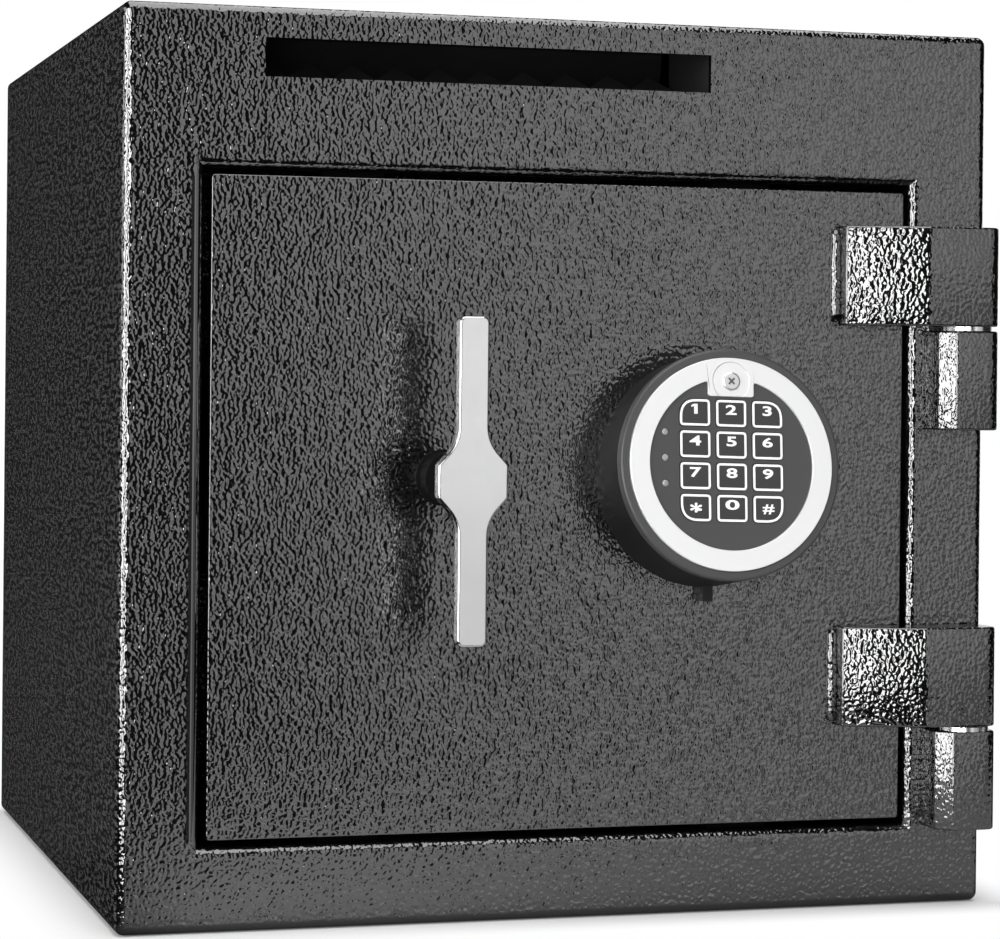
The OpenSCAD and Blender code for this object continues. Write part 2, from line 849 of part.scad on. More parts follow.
// The sheet box over the bolt work; the guide bracket is its fourth side
module mechanism_cover() {
    back_d = [cover_d, cover_d + cover_t];
    side_d = [door_t, cover_d + cover_t];
    color(inner_paint)
        difference() {
            union() {
                block(cover_x, back_d, cover_z);
                block([cover_x[1] - cover_t, cover_x[1]], side_d, cover_z);
                block(cover_x, side_d, [cover_z[1] - cover_t, cover_z[1]]);
                block(cover_x, side_d, [cover_z[0], cover_z[0] + cover_t]);
            }
            block(from(cover_x[0], -cut, guide_foot + cut), from(door_t, -cut, guide_foot_t + seat),
                grow(cover_z, cut));
            for (p = post_places)
                rod_y(p[0], p[1], grow(back_d, cut), screw_r + fit);
        }
}

module cover_posts() {
    color(steel)
        for (p = post_places)
            difference() {
                rod_y(p[0], p[1], [door_t, cover_d], post_r);
                rod_y(p[0], p[1], [cover_d - cover_screw_len, cover_d + cut], screw_r + fit);
            }
}

module cover_screws() {
    head_d = cover_d + cover_t;
    color(steel)
        for (p = post_places)
            difference() {
                union() {
                    rod_y(p[0], p[1], [head_d - cover_screw_len, head_d], screw_r);
                    rod_y(p[0], p[1], [head_d, head_d + 2.4], screw_head_r);
                }
                block(about(p[0], 1.2), from(head_d, 1.2, 3), about(p[1], 6));
                block(about(p[0], 6), from(head_d, 1.2, 3), about(p[1], 1.2));
            }
}

// Shouldered studs that the carriage's slots run on
module guide_studs() {
    color(steel)
        for (z = stud_zs) {
            rod_y(stud_x, z, [door_t, carriage_d[0] - seat], stud_head_r);
            rod_y(stud_x, z, [door_t, carriage_d[1] + seat], stud_r);
            rod_y(stud_x, z, [carriage_d[1] + seat, carriage_d[1] + seat + 2.5], stud_head_r);
        }
}

// The plate that carries the three locking bolts
module carriage() {
    bar_x = [flange_x[0], stud_x + bolt_travel + stud_r + 6];
    hub_z = from(handle_z, -28, 40);
    hub_right = crank_x + 33;
    arm_z = from(lug_z[0], 0, 14);
    arm_x = [hub_right - 22, lug_x[1]];
    color([0.62, 0.6, 0.5])
        difference() {
            union() {
                block(bar_x, carriage_d, flange_z);
                block([flange_x[0], hub_right], carriage_d, hub_z);
                block([arm_x[0], hub_right], carriage_d, [arm_z[0], hub_z[0]]);
                block(arm_x, carriage_d, arm_z);
                block(lug_x, [carriage_d[0], lock_case_d[0] + lock_wall + lock_bolt_d + 4], lug_z);
                block(flange_x, [carriage_d[0], bolt_d + bolt_r + 1], flange_z);
            }
            block(from(handle_x, -tail_r - window_gap, tail_r + window_gap + bolt_travel),
                grow(carriage_d, cut), about(handle_z, 2 * (tail_r + window_gap)));
            crank_slot();
            for (z = stud_zs)
                face_y(grow(carriage_d, cut))
                    stadium([stud_x, stud_x + bolt_travel], z, stud_r + slide_gap);
            for (z = bolt_zs)
                rod_x(grow(flange_x, cut), bolt_d, z, screw_r + fit);
        }
}

// A level slot with round ends between two centres
module stadium(x, z, r) {
    patch(x, [z - r, z + r]);
    for (cx = x)
        translate([cx, z])
            circle(r);
}

// The upright slot that the crank pin runs in
module crank_slot() {
    slot_r = crank_pin_r + crank_gap;
    face_y(grow(carriage_d, cut)) {
        patch(about(crank_x, 2 * slot_r), [crank_z, handle_z + crank_r]);
        translate([crank_x, crank_z])
            circle(slot_r);
        translate([crank_x, handle_z + crank_r])
            circle(slot_r);
    }
}

module locking_bolts() {
    color("gainsboro")
        for (z = bolt_zs)
            difference() {
                union() {
                    rod_x([bolt_tip_x + bolt_chamfer, flange_x[0]], bolt_d, z, bolt_r);
                    translate([bolt_tip_x, front_y + bolt_d, z])
                        rotate([0, 90, 0])
                            cylinder(r1 = bolt_r - bolt_chamfer, r2 = bolt_r, h = bolt_chamfer);
                }
                rod_x(from(flange_x[0], -bolt_screw_len - 2, cut), bolt_d, z, screw_r + fit);
            }
}

module bolt_screws() {
    color(steel)
        for (z = bolt_zs)
            difference() {
                union() {
                    rod_x([flange_x[0] - bolt_screw_len, flange_x[1]], bolt_d, z, screw_r);
                    rod_x([flange_x[1], flange_x[1] + 4], bolt_d, z, screw_head_r);
                }
                translate([flange_x[1] + 2, front_y + bolt_d, z])
                    rotate([0, 90, 0])
                        cylinder(r = hex_r, h = 3, $fn = 6);
            }
}

// The crank that drives the carriage, drawn towards the hinge side
module cam() {
    color("darkgray")
        difference() {
            union() {
                face_y(cam_d) {
                    translate([handle_x, handle_z])
                        circle(cam_hub_r);
                    translate([crank_x, crank_z])
                        circle(crank_pin_r + cam_rim);
                    translate([handle_x, handle_z])
                        rotate(-handle_turn / 2)
                            translate([-crank_pin_r - cam_rim, 0])
                                square([2 * (crank_pin_r + cam_rim), crank_r]);
                }
                rod_y(crank_x, crank_z, [carriage_d[0] - 0.5, cam_d[0] + cut], crank_pin_r);
            }
            rod_y(handle_x, handle_z, grow(cam_d, cut), thread_r + fit / 2);
        }
}

module cam_nut() {
    color(steel)
        difference() {
            union() {
                rod_y(handle_x, handle_z, from(cam_d[1], 0, nut_flange_t), nut_r + 0.5);
                translate([handle_x, front_y + cam_d[1] + nut_flange_t, handle_z])
                    rotate([-90, 0, 0])
                        cylinder(r = nut_r, h = nut_h, $fn = 6);
            }
            rod_y(handle_x, handle_z, from(cam_d[1], -cut, nut_h + 2 * nut_flange_t), thread_r + fit / 2);
        }
}

module handle_shaft() {
    color("dimgray") {
        rod_y(handle_x, handle_z, [-handle_out - socket_d, door_t + 0.2], shaft_r);
        rod_y(handle_x, handle_z, [door_t, cam_d[0]], tail_r);
        rod_y(handle_x, handle_z, [cam_d[0] - cut, cam_d[1] + nut_flange_t + nut_h + cut], thread_r);
    }
}

module handle_collar() {
    color(plastic)
        difference() {
            union() {
                rod_y(handle_x, handle_z, [-collar_len, 0], collar_r);
                rod_y(handle_x, handle_z, [-collar_lip, 0], collar_r + collar_lip);
            }
            rod_y(handle_x, handle_z, [-collar_len - cut, cut], shaft_r + fit);
        }
}

// Right half of the handle's outline about its centre, from the foot to the top
function handle_half() =
    let (flare = 42, end = handle_len / 2, corner = 2.4, b = bar_w / 2, h = hub_w / 2,
        rise = (h - b - flare_r * (1 - cos(flare))) / tan(flare),
        start = hub_flat / 2 + rise + flare_r * sin(flare))
    concat(arc(b - corner, -end + corner, corner, -90, 0),
        arc(b + flare_r, -start, flare_r, 180, 180 - flare),
        [[h, -hub_flat / 2], [h, hub_flat / 2]],
        arc(b + flare_r, start, flare_r, 180 + flare, 180),
        arc(b - corner, end - corner, corner, 0, 90));

module handle_grip() {
    half = handle_half();
    last = len(half) - 1;
    color([0.86, 0.87, 0.88])
        difference() {
            face_y([-handle_out - handle_t, -handle_out])
                translate([handle_x, handle_z])
                    polygon(concat(half, [for (i = [last:-1:0]) [-half[i][0], half[i][1]]]));
            rod_y(handle_x, handle_z, [-handle_out - socket_d, -handle_out + cut], shaft_r + fit / 2);
        }
}

// Leans its children back about the middle of the keypad's front, and turns them about its axis
module leaned() {
    translate([keypad_x, front_y - keypad_out, keypad_z])
        rotate([-keypad_lean, 0, 0])
            rotate([0, keypad_turn, 0])
                translate([-keypad_x, keypad_out - front_y, -keypad_z])
                    children();
}

// The space in front of the door round the keypad, up to that depth
module keypad_space(back) {
    block(about(keypad_x, 4 * keypad_r), [-2 * keypad_out, back], about(keypad_z, 4 * keypad_r));
}

// Housing of the keypad: a cup with a floor on the door and a ledge for the board
module keypad_base() {
    inner_r = keypad_r - keypad_wall;
    front = -keypad_out + bezel_d;
    foot = keypad_r * tan(keypad_lean) + cut;
    ledge = from(board_d + board_t, 0, 3);
    color(plastic) {
        difference() {
            intersection() {
                leaned()
                    rod_y(keypad_x, keypad_z, [front, foot], keypad_r);
                keypad_space(0);
            }
            leaned() {
                rod_y(keypad_x, keypad_z, [front - cut, ledge[0]], inner_r);
                rod_y(keypad_x, keypad_z, grow(ledge, cut), inner_r - ledge_w);
            }
            intersection() {
                leaned()
                    rod_y(keypad_x, keypad_z, [ledge[1], foot], inner_r);
                keypad_space(-floor_t);
            }
            rod_y(lead_x, keypad_z, [-floor_t - cut, cut], lead_r + cut);
            mount_screw_rods([-floor_t - cut, cut], mount_screw_r + fit);
        }
        intersection() {
            leaned()
                difference() {
                    rod_y(keypad_x, keypad_z + screw_up, [ledge[0], foot], face_screw_r);
                    rod_y(keypad_x, keypad_z + screw_up, [ledge[0] - cut, screw_tip_d + cut],
                        face_thread_r + fit);
                }
            keypad_space(cut - floor_t);
        }
        block(from(keypad_x, -nub_left, nub_w - nub_left), [-nub_d, 0],
            from(keypad_z - keypad_r, -nub_drop, -nub_sunk));
    }
}

module keypad_bezel() {
    inner_r = keypad_r - keypad_wall;
    color(plastic)
        leaned()
            translate([keypad_x, front_y, keypad_z])
                rotate([90, 0, 0])
                    rotate_extrude()
                        polygon([[inner_r, keypad_out - bezel_d], [keypad_r, keypad_out - bezel_d],
                            [keypad_r, keypad_out - 1.2], [keypad_r - 1.2, keypad_out],
                            [ring_r + fit, keypad_out], [ring_r + fit, keypad_out - 1.5],
                            [inner_r, keypad_out - 1.5]]);
}

// Outline of the silver ring and its tab
module ring_outline(outer, inner, wide, low) {
    difference() {
        circle(outer, $fn = 96);
        difference() {
            circle(inner, $fn = 96);
            translate([-wide / 2, low])
                square([wide, outer]);
        }
    }
}

module keypad_ring() {
    color([0.9, 0.9, 0.91])
        leaned()
            difference() {
                face_y([-keypad_out - ring_proud, face_d[0]])
                    translate([keypad_x, keypad_z])
                        ring_outline(ring_r, ring_in, tab_w, tab_low);
                rod_y(keypad_x, keypad_z + screw_up, from(-keypad_out, -ring_proud - cut, 2 + cut),
                    face_thread_r + fit);
            }
}

module key_outline(row, col, extra) {
    w = key_w / 2 + extra;
    h = key_h / 2 + extra;
    small = key_r + extra;
    big = key_corner_r + extra;
    ne = row == 0 && col == 2 ? big : small;
    nw = row == 0 && col == 0 ? big : small;
    sw = row == 3 && col == 0 ? big : small;
    se = row == 3 && col == 2 ? big : small;
    translate([keypad_x + (col - 1) * key_pitch_x, keypad_z + key_rise + (1.5 - row) * key_pitch_z])
        polygon(concat(arc(w - ne, h - ne, ne, 0, 90), arc(-w + nw, h - nw, nw, 90, 180),
            arc(-w + sw, -h + sw, sw, 180, 270), arc(w - se, -h + se, se, 270, 360)));
}

module key(row, col) {
    color([0.2, 0.2, 0.21])
        leaned() {
            face_y([-keypad_out - key_proud, face_d[1] + 0.3])
                key_outline(row, col, 0);
            face_y(from(face_d[1] + 0.3, 0, flange_d))
                key_outline(row, col, key_rim);
        }
}

module key_1() { key(0, 0); }
module key_2() { key(0, 1); }
module key_3() { key(0, 2); }
module key_4() { key(1, 0); }
module key_5() { key(1, 1); }
module key_6() { key(1, 2); }
module key_7() { key(2, 0); }
module key_8() { key(2, 1); }
module key_9() { key(2, 2); }
module key_star() { key(3, 0); }
module key_0() { key(3, 1); }
module key_hash() { key(3, 2); }

// The black face: a carrier under the ring and a raised field with a window for each key
module keypad_face() {
    skirt_r = keypad_r - keypad_wall - fit;
    color([0.25, 0.25, 0.26])
        leaned()
            difference() {
                union() {
                    rod_y(keypad_x, keypad_z, face_d, skirt_r);
                    difference() {
                        rod_y(keypad_x, keypad_z, [face_d[0], board_d], skirt_r);
                        rod_y(keypad_x, keypad_z, [face_d[1], board_d + cut], skirt_r - skirt_t);
                    }
                    face_y([-keypad_out, face_d[0]])
                        translate([keypad_x, keypad_z])
                            difference() {
                                circle(ring_in - seat, $fn = 96);
                                translate([-tab_w / 2 - seat, tab_low - seat])
                                    square([tab_w + 2 * seat, ring_in]);
                            }
                }
                for (row = [0:3], col = [0:2])
                    face_y([-keypad_out - cut, face_d[1] + cut])
                        key_outline(row, col, key_gap);
                led_rods([-keypad_out - cut, face_d[1] + cut], led_r + fit);
                rod_y(keypad_x, keypad_z + screw_up, grow(face_d, cut), face_thread_r + fit);
            }
}

module led_rods(d, r) {
    for (i = [-1:1])
        rod_y(keypad_x - led_in, keypad_z + 2 + i * led_pitch, d, r);
}

module led_lenses() {
    color([0.55, 0.55, 0.55])
        leaned()
            led_rods([-keypad_out - 0.2, face_d[1] + 0.5], led_r);
}

// The screw that clamps the ring, the face and the board to the housing's boss
module keypad_screw() {
    z = keypad_z + screw_up;
    head_d = -keypad_out - ring_proud;
    color("silver")
        leaned()
            difference() {
                union() {
                    rod_y(keypad_x, z, [head_d - 1, head_d], face_screw_r);
                    rod_y(keypad_x, z, [head_d, screw_tip_d], face_thread_r);
                }
                block(about(keypad_x, 0.9), from(head_d, -2, -0.4), about(z, 4));
                block(about(keypad_x, 4), from(head_d, -2, -0.4), about(z, 0.9));
            }
}

module keypad_mount_screws() {
    color(steel) {
        mount_screw_rods([-floor_t, door_t - 2], mount_screw_r);
        mount_screw_rods([-floor_t - 2, -floor_t], 2 * mount_screw_r);
    }
}

module board_disc() {
    rod_y(keypad_x, keypad_z, from(board_d, 0, board_t), board_r);
}

module keypad_board() {
    color("darkgreen")
        leaned()
            difference() {
                board_disc();
                rod_y(keypad_x, keypad_z + screw_up, from(board_d, -cut, board_t + cut), face_thread_r + fit);
            }
}

module battery() {
    top = keypad_z - 9;
    color([0.25, 0.25, 0.3])
        block(about(keypad_x, battery_l), [-floor_t - battery_t, -floor_t], [top - battery_w, top]);
}

body_wrap();
front_frame();
back_panel();
floor_mat();
strike_bar();
door_stops();
slot_tray();
tooth_comb();
deflector();
fixed_knuckle_upper();
fixed_knuckle_lower();
hinge_pins();
hinge_washers();
door_plate();
hinge_block_upper();
hinge_block_lower();
dead_bar();
bolt_guide();
hard_plate();
lock_case();
lock_cover();
lock_screws();
solenoid();
lock_board();
lock_lead();
mechanism_cover();
cover_posts();
cover_screws();
guide_studs();
handle_collar();
keypad_base();
keypad_bezel();
keypad_ring();
keypad_face();
keypad_screw();
keypad_mount_screws();
keypad_board();
battery();
led_lenses();
handle_grip();
handle_shaft();
cam();
cam_nut();
carriage();
locking_bolts();
bolt_screws();
lock_bolt();
key_1();
key_2();
key_3();
key_4();
key_5();
key_6();
key_7();
key_8();
key_9();
key_star();
key_0();
key_hash();
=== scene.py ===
import functools
import math

import bmesh
import bpy
import numpy as np
from mathutils import Matrix, Vector


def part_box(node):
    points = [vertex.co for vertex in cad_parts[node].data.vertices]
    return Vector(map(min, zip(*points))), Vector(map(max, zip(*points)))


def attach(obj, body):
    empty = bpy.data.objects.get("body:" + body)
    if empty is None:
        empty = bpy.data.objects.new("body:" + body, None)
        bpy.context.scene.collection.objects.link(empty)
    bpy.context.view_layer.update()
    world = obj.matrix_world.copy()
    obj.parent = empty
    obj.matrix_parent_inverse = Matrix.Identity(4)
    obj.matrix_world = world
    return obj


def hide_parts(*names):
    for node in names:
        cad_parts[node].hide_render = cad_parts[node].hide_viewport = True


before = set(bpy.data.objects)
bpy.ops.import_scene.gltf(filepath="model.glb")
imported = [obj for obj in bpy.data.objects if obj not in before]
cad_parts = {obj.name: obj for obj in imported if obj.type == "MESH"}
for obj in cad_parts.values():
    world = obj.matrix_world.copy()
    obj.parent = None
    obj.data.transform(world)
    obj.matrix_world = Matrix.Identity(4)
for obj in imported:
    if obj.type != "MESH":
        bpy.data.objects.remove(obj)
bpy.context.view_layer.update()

bl_info = {
    "name": "Drop Safe Looks",
    "version": (1, 0, 0),
    "blender": (4, 5, 0),
    "location": "3D View > Sidebar > Safe",
    "description": "Paint, hinges, keypad, handle and studio for a front-drop depository safe",
    "category": "Object",
}

BODY = "safe_body"
DOOR = "door"

# Half the body's width and depth, and how far forward most lamps aim
HALF_WIDTH, HALF_DEPTH = 0.178, 0.1725
FRONT_Y = -0.17

# The keypad in its own directions: right, inwards and up from the middle of its front
LEAN, TURN = math.radians(7.7), math.radians(1.5)
KEYPAD_R, BEZEL_DEPTH = 0.0454, 0.005
RING_R, RING_IN, RING_PROUD, RING_BACK = 0.0418, 0.0337, 0.001, 0.0015
TAB_W, TAB_LOW = 0.019, 0.0265
SCREW_UP, SCREW_R, RECESS_W, RECESS_L, DISH_R = 0.0325, 0.0037, 0.0008, 0.0034, 0.0078
KEY_SIZE, KEY_PITCH, KEY_RISE, KEY_PROUD = (0.0128, 0.0108), (0.015, 0.0124), 0.0013, 0.0006
KEYS = {
    "key_1": "1", "key_2": "2", "key_3": "3",
    "key_4": "4", "key_5": "5", "key_6": "6",
    "key_7": "7", "key_8": "8", "key_9": "9",
    "key_star": "*", "key_0": "0", "key_hash": "#",
}
# How far a sign is stretched sideways, the other digits' stretch, and a digit's height over its
# key's middle
SIGN_STRETCH = {"0": 2.3, "*": 1.4, "#": 1.5}
DIGIT_STRETCH, DIGIT_UP = 1.8, 0.0014


# ---- settings ----

class PaintLook(bpy.types.PropertyGroup):
    """Pebbled powder coat of the body, the door and the hinges."""
    colour: bpy.props.FloatVectorProperty(
        name="Paint", description="Colour of the powder coat", subtype="COLOR", size=3,
        default=(0.0025, 0.0025, 0.0026))
    # Painted shade: the pits between the pebbles are coloured darker than the coat
    pit_shade_colour: bpy.props.FloatVectorProperty(
        name="Pits", description="Colour in the pits between the pebbles", subtype="COLOR", size=3,
        default=(0.001, 0.001, 0.001))
    # Painted sheen: grey flecks on the body's two sides stand for the pebbles' glints seen edge-on
    side_sheen_colour: bpy.props.FloatVectorProperty(
        name="Flecks", description="Colour of the flecks on the body's sides", subtype="COLOR", size=3,
        default=(0.070, 0.070, 0.071))
    pebble: bpy.props.FloatProperty(
        name="Pebble", description="Width of a pebble of the coat", unit="LENGTH", default=0.0014)
    relief: bpy.props.FloatProperty(
        name="Relief", description="Height of the pebbles", unit="LENGTH", default=0.00028)
    inner_colour: bpy.props.FloatVectorProperty(
        name="Inner paint", description="Colour of the satin paint inside", subtype="COLOR", size=3,
        default=(0.03, 0.03, 0.032))


class HingeLook(bpy.types.PropertyGroup):
    """Rounding and welds of the hinge blocks."""
    edge: bpy.props.FloatProperty(
        name="Edge", description="Rounding of a hinge's edges", unit="LENGTH", default=0.0009)
    bead: bpy.props.FloatProperty(
        name="Weld bead", description="Radius of the weld bead", unit="LENGTH", default=0.0027)


class HandleLook(bpy.types.PropertyGroup):
    """Polished turning handle."""
    colour: bpy.props.FloatVectorProperty(
        name="Chrome", description="Colour of the plating", subtype="COLOR", size=3,
        default=(0.70, 0.70, 0.705))
    edge: bpy.props.FloatProperty(
        name="Edge", description="Rounding of the handle's edge", unit="LENGTH", default=0.0007)


class KeypadLook(bpy.types.PropertyGroup):
    """Keypad housing, ring, keys and print."""
    housing: bpy.props.FloatVectorProperty(
        name="Housing", description="Colour of the moulded housing", subtype="COLOR", size=3,
        default=(0.008, 0.008, 0.0083))
    silver: bpy.props.FloatVectorProperty(
        name="Ring", description="Colour of the bright ring", subtype="COLOR", size=3,
        default=(0.78, 0.78, 0.785))
    film: bpy.props.FloatVectorProperty(
        name="Face", description="Colour of the key face", subtype="COLOR", size=3,
        default=(0.055, 0.055, 0.056))
    ink: bpy.props.FloatVectorProperty(
        name="Print", description="Colour of the printed digits and outlines", subtype="COLOR", size=3,
        default=(0.95, 0.95, 0.95))
    line: bpy.props.FloatProperty(
        name="Line", description="Width of a key's printed outline", unit="LENGTH", default=0.0009)
    digit: bpy.props.FloatProperty(
        name="Digit", description="Height of a printed digit", unit="LENGTH", default=0.0039)
    rounding: bpy.props.FloatProperty(
        name="Rounding", description="Reach of a key's small corners", unit="LENGTH", default=0.0019)
    corner: bpy.props.FloatProperty(
        name="Corner", description="Reach of a corner key's outer corner", unit="LENGTH", default=0.0072)


class StageLook(bpy.types.PropertyGroup):
    """Floor, lamps and world."""
    floor: bpy.props.FloatVectorProperty(
        name="Floor", description="Colour of the floor", subtype="COLOR", size=3,
        default=(0.93, 0.93, 0.93))
    light: bpy.props.FloatProperty(
        name="Soft light", description="Strength of the light from all round", default=0.12)
    lamps: bpy.props.FloatProperty(
        name="Lamps", description="Strength of the lamps", subtype="FACTOR", default=1.0)


SETTINGS = {
    "safe_paint": PaintLook, "safe_hinge": HingeLook, "safe_handle": HandleLook,
    "safe_keypad": KeypadLook, "safe_stage": StageLook,
}


# ---- shader building ----

class Value:
    """A number in a shader. Arithmetic on it adds Math nodes, with plain numbers on either side."""

    def __init__(self, finish, socket):
        self.finish = finish
        self.socket = socket

    def math(self, operation, *values):
        """The result of a Math node."""
        return self.finish.value("ShaderNodeMath", {"operation": operation}, dict(enumerate(values)))

    def __add__(self, other):
        return self.math("ADD", self, other)

    def __sub__(self, other):
        return self.math("SUBTRACT", self, other)

    def __rsub__(self, other):
        return self.math("SUBTRACT", other, self)

    def __mul__(self, other):
        return self.math("MULTIPLY", self, other)

    def __truediv__(self, other):
        return self.math("DIVIDE", self, other)

    __radd__ = __add__
    __rmul__ = __mul__

    def most(self, other):
        """The larger of two values."""
        return self.math("MAXIMUM", self, other)

    def size(self):
        """The value without its sign."""
        return self.math("ABSOLUTE", self)

    def step(self, low, high):
        """A smooth climb from 0 at low to 1 at high."""
        return self.finish.value("ShaderNodeMapRange", {"interpolation_type": "SMOOTHSTEP"},
                                 {"Value": self, "From Min": low, "From Max": high})


class Nodes:
    """Makes the nodes of one node tree."""

    def __init__(self, tree):
        self.tree = tree

    def node(self, kind, settings=None, values=None):
        """A node of that kind: its settings first, then its sockets."""
        made = self.tree.nodes.new(kind)
        for key, setting in (settings or {}).items():
            setattr(made, key, setting)
        for key, value in (values or {}).items():
            self.put(made.inputs[key], value)
        return made

    def put(self, socket, value):
        """Links a value to a socket, or sets the socket to it."""
        if isinstance(value, Value):
            value = value.socket
        if isinstance(value, bpy.types.NodeSocket):
            self.tree.links.new(value, socket)
        elif isinstance(value, tuple) and len(value) == 3 and socket.type == "RGBA":
            socket.default_value = (*value, 1)
        else:
            socket.default_value = value

    def value(self, kind, settings=None, values=None, output=0):
        """A node's output as a Value."""
        return Value(self, self.node(kind, settings, values).outputs[output])

    def mix(self, factor, first, second):
        """A colour between two."""
        return self.node("ShaderNodeMix", {"data_type": "RGBA"}, {0: factor, 6: first, 7: second}).outputs[2]

    def place(self, stretch=(1, 1, 1)):
        """The point on the object in its own coordinates, stretched."""
        here = self.node("ShaderNodeTexCoord").outputs["Object"]
        return self.node("ShaderNodeMapping", None, {"Vector": here, "Scale": stretch}).outputs[0]

    def split(self, where):
        """The three coordinates of a point."""
        parts = self.node("ShaderNodeSeparateXYZ", None, {0: where}).outputs
        return [Value(self, part) for part in parts]

    def noise(self, where, width, detail=2.0, roughness=0.5, distortion=0.0):
        """Soft noise with features of that width."""
        return self.value("ShaderNodeTexNoise", None, {
            "Vector": where, "Scale": 1 / width, "Detail": detail, "Roughness": roughness,
            "Distortion": distortion})

    def bump(self, height, rise, strength=1.0):
        """A bump of that rise."""
        return self.node("ShaderNodeBump", None, {
            "Height": height, "Distance": rise, "Strength": strength}).outputs[0]


class Finish(Nodes):
    """One material. Plain numbers and colours go straight on the shader's sockets."""

    def __init__(self, name, colour=None, **sockets):
        self.material = bpy.data.materials.new(name)
        self.material.use_nodes = True
        super().__init__(self.material.node_tree)
        self.shader = self.tree.nodes["Principled BSDF"]
        if colour is not None:
            sockets["base_color"] = colour
        self.feed(**sockets)

    def feed(self, **sockets):
        """Sets or links the shader's sockets, named in lower case, and gives the material."""
        for key, value in sockets.items():
            self.put(self.shader.inputs[key.replace("_", " ").title().replace("Ior", "IOR")], value)
        return self.material


def pebbled_paint(look):
    """Glossy pebbled coat. Its height is smooth noise of the pebble's width, a little longer upright
    than across, and the hollows between the pebbles are coloured darker as painted shade. The coat
    mirrors the studio, so level parts show the large lamp as grey and steep flanks the dark beside
    it as black. The frame's edge beside the door's left side is sanded smooth: there the height
    eases to its mean. On the body's two sides fine grey flecks of painted sheen lie over the coat,
    standing for the pebbles' glints seen edge-on."""
    finish = Finish("pebbled_coat", ior=2.2)
    grain = finish.noise(finish.place((1, 1, 0.85)), look.pebble, 0.25, 0.5, 0.3)
    fine = finish.noise(finish.place(), look.pebble * 0.4, 1.0)
    across, along, up = finish.split(finish.place())
    (left, face, bottom), (_, _, top) = corners("door_plate")
    worn_across = across.step(left - 0.0105, left - 0.0075) * (1 - across.step(left - 0.001, left))
    worn_up = up.step(bottom - 0.006, bottom + 0.002) * (1 - up.step(top - 0.002, top + 0.006))
    worn = worn_across * worn_up * (1 - along.step(face + 0.004, face + 0.008))
    height = grain + (0.5 - grain) * worn
    # Painted sheen: grey flecks laid over the coat on the body's two sides only
    sheen_fleck = finish.noise(finish.place((1, 0.3, 1)), look.pebble * 1.2, 1.0).step(0.46, 0.56)
    at_side = across.size().step(HALF_WIDTH - 0.0008, HALF_WIDTH - 0.0002)
    # Painted shade: the pits between the pebbles take the darker colour
    pit_shaded_tone = finish.mix(grain.step(0.3, 0.6), tuple(look.pit_shade_colour), tuple(look.colour))
    return finish.feed(
        base_color=finish.mix(sheen_fleck * at_side, pit_shaded_tone, tuple(look.side_sheen_colour)),
        roughness=0.05 + 0.04 * fine,
        normal=finish.bump(height, look.relief))


def satin_paint(name, colour, roughness=0.5):
    """Satin sheet paint with a faint orange peel."""
    finish = Finish(name, colour)
    where = finish.place()
    peel = finish.noise(where, 0.0022, 2.0)
    return finish.feed(
        roughness=roughness - 0.08 + 0.16 * finish.noise(where, 0.02, 3.0),
        normal=finish.bump(peel, 0.00008, 0.7))


def metal(name, colour, roughness, grain=(1, 1, 1), width=0.0006, depth=0.00002, dull=0.86):
    """Plain metal with fine marks; grain stretches the marks along an axis, and dull is how much of
    its brightness the dullest patches keep."""
    finish = Finish(name, metallic=1.0)
    where = finish.place(grain)
    marks = finish.noise(where, width, 3.0, 0.6)
    cloud = finish.noise(finish.place(), 0.018, 3.0)
    return finish.feed(
        base_color=finish.mix(cloud.step(0.3, 0.7), tuple(dull * c for c in colour), tuple(colour)),
        roughness=roughness * 0.75 + roughness * 0.5 * marks,
        normal=finish.bump(marks, depth, 0.5))


def plastic(name, colour, roughness, grain=0.0004, depth=0.00001, shine=0.5):
    """Moulded plastic with a fine spark-eroded grain; shine is 0 for none and 0.5 for plain plastic."""
    finish = Finish(name, colour, specular_ior_level=shine)
    texture = finish.noise(finish.place(), grain, 2.0)
    return finish.feed(
        roughness=roughness - 0.06 + 0.12 * texture,
        normal=finish.bump(texture, depth, 0.6))


def felt(name, colour):
    """Needle felt: short tangled fibres in two sizes."""
    finish = Finish(name, roughness=0.95)
    where = finish.place((1, 1, 0.4))
    fibres = finish.noise(where, 0.0009, 4.0, 0.7, 1.5)
    tufts = finish.noise(where, 0.006, 2.0)
    shade, light = tuple(0.5 * c for c in colour), tuple(1.6 * c for c in colour)
    return finish.feed(
        base_color=finish.mix(fibres.step(0.35, 0.7), shade, light),
        normal=finish.bump(fibres + 0.5 * tufts, 0.0006))


# ---- shapes ----

def lattice(rows, cols, loop_rows=False, loop_cols=False):
    """Quads of a grid of rows by cols points, counted along its rows; a loop joins last to first."""
    r = np.arange(rows if loop_rows else rows - 1)[:, None]
    c = np.arange(cols if loop_cols else cols - 1)[None, :]
    next_r, next_c = (r + 1) % rows, (c + 1) % cols
    quads = np.stack([r * cols + c, r * cols + next_c, next_r * cols + next_c, next_r * cols + c], -1)
    return quads.reshape(-1, 4)


def unit(vectors):
    """Vectors at length 1."""
    return vectors / np.linalg.norm(vectors, axis=-1, keepdims=True)


def eased(plan, reaches, steps=5):
    """A closed outline with eased corners: each corner gives way to a parabola that starts that far
    before it, ends that far after it, and has the corner as its middle handle."""
    plan = np.asarray(plan, float)
    reach = np.broadcast_to(np.asarray(reaches, float), len(plan))[:, None]
    start = plan + reach * unit(np.roll(plan, 1, 0) - plan)
    end = plan + reach * unit(np.roll(plan, -1, 0) - plan)
    t = np.linspace(0, 1, steps)[None, :, None]
    curve = (1 - t) ** 2 * start[:, None] + 2 * t * (1 - t) * plan[:, None] + t ** 2 * end[:, None]
    return curve.reshape(-1, 2)


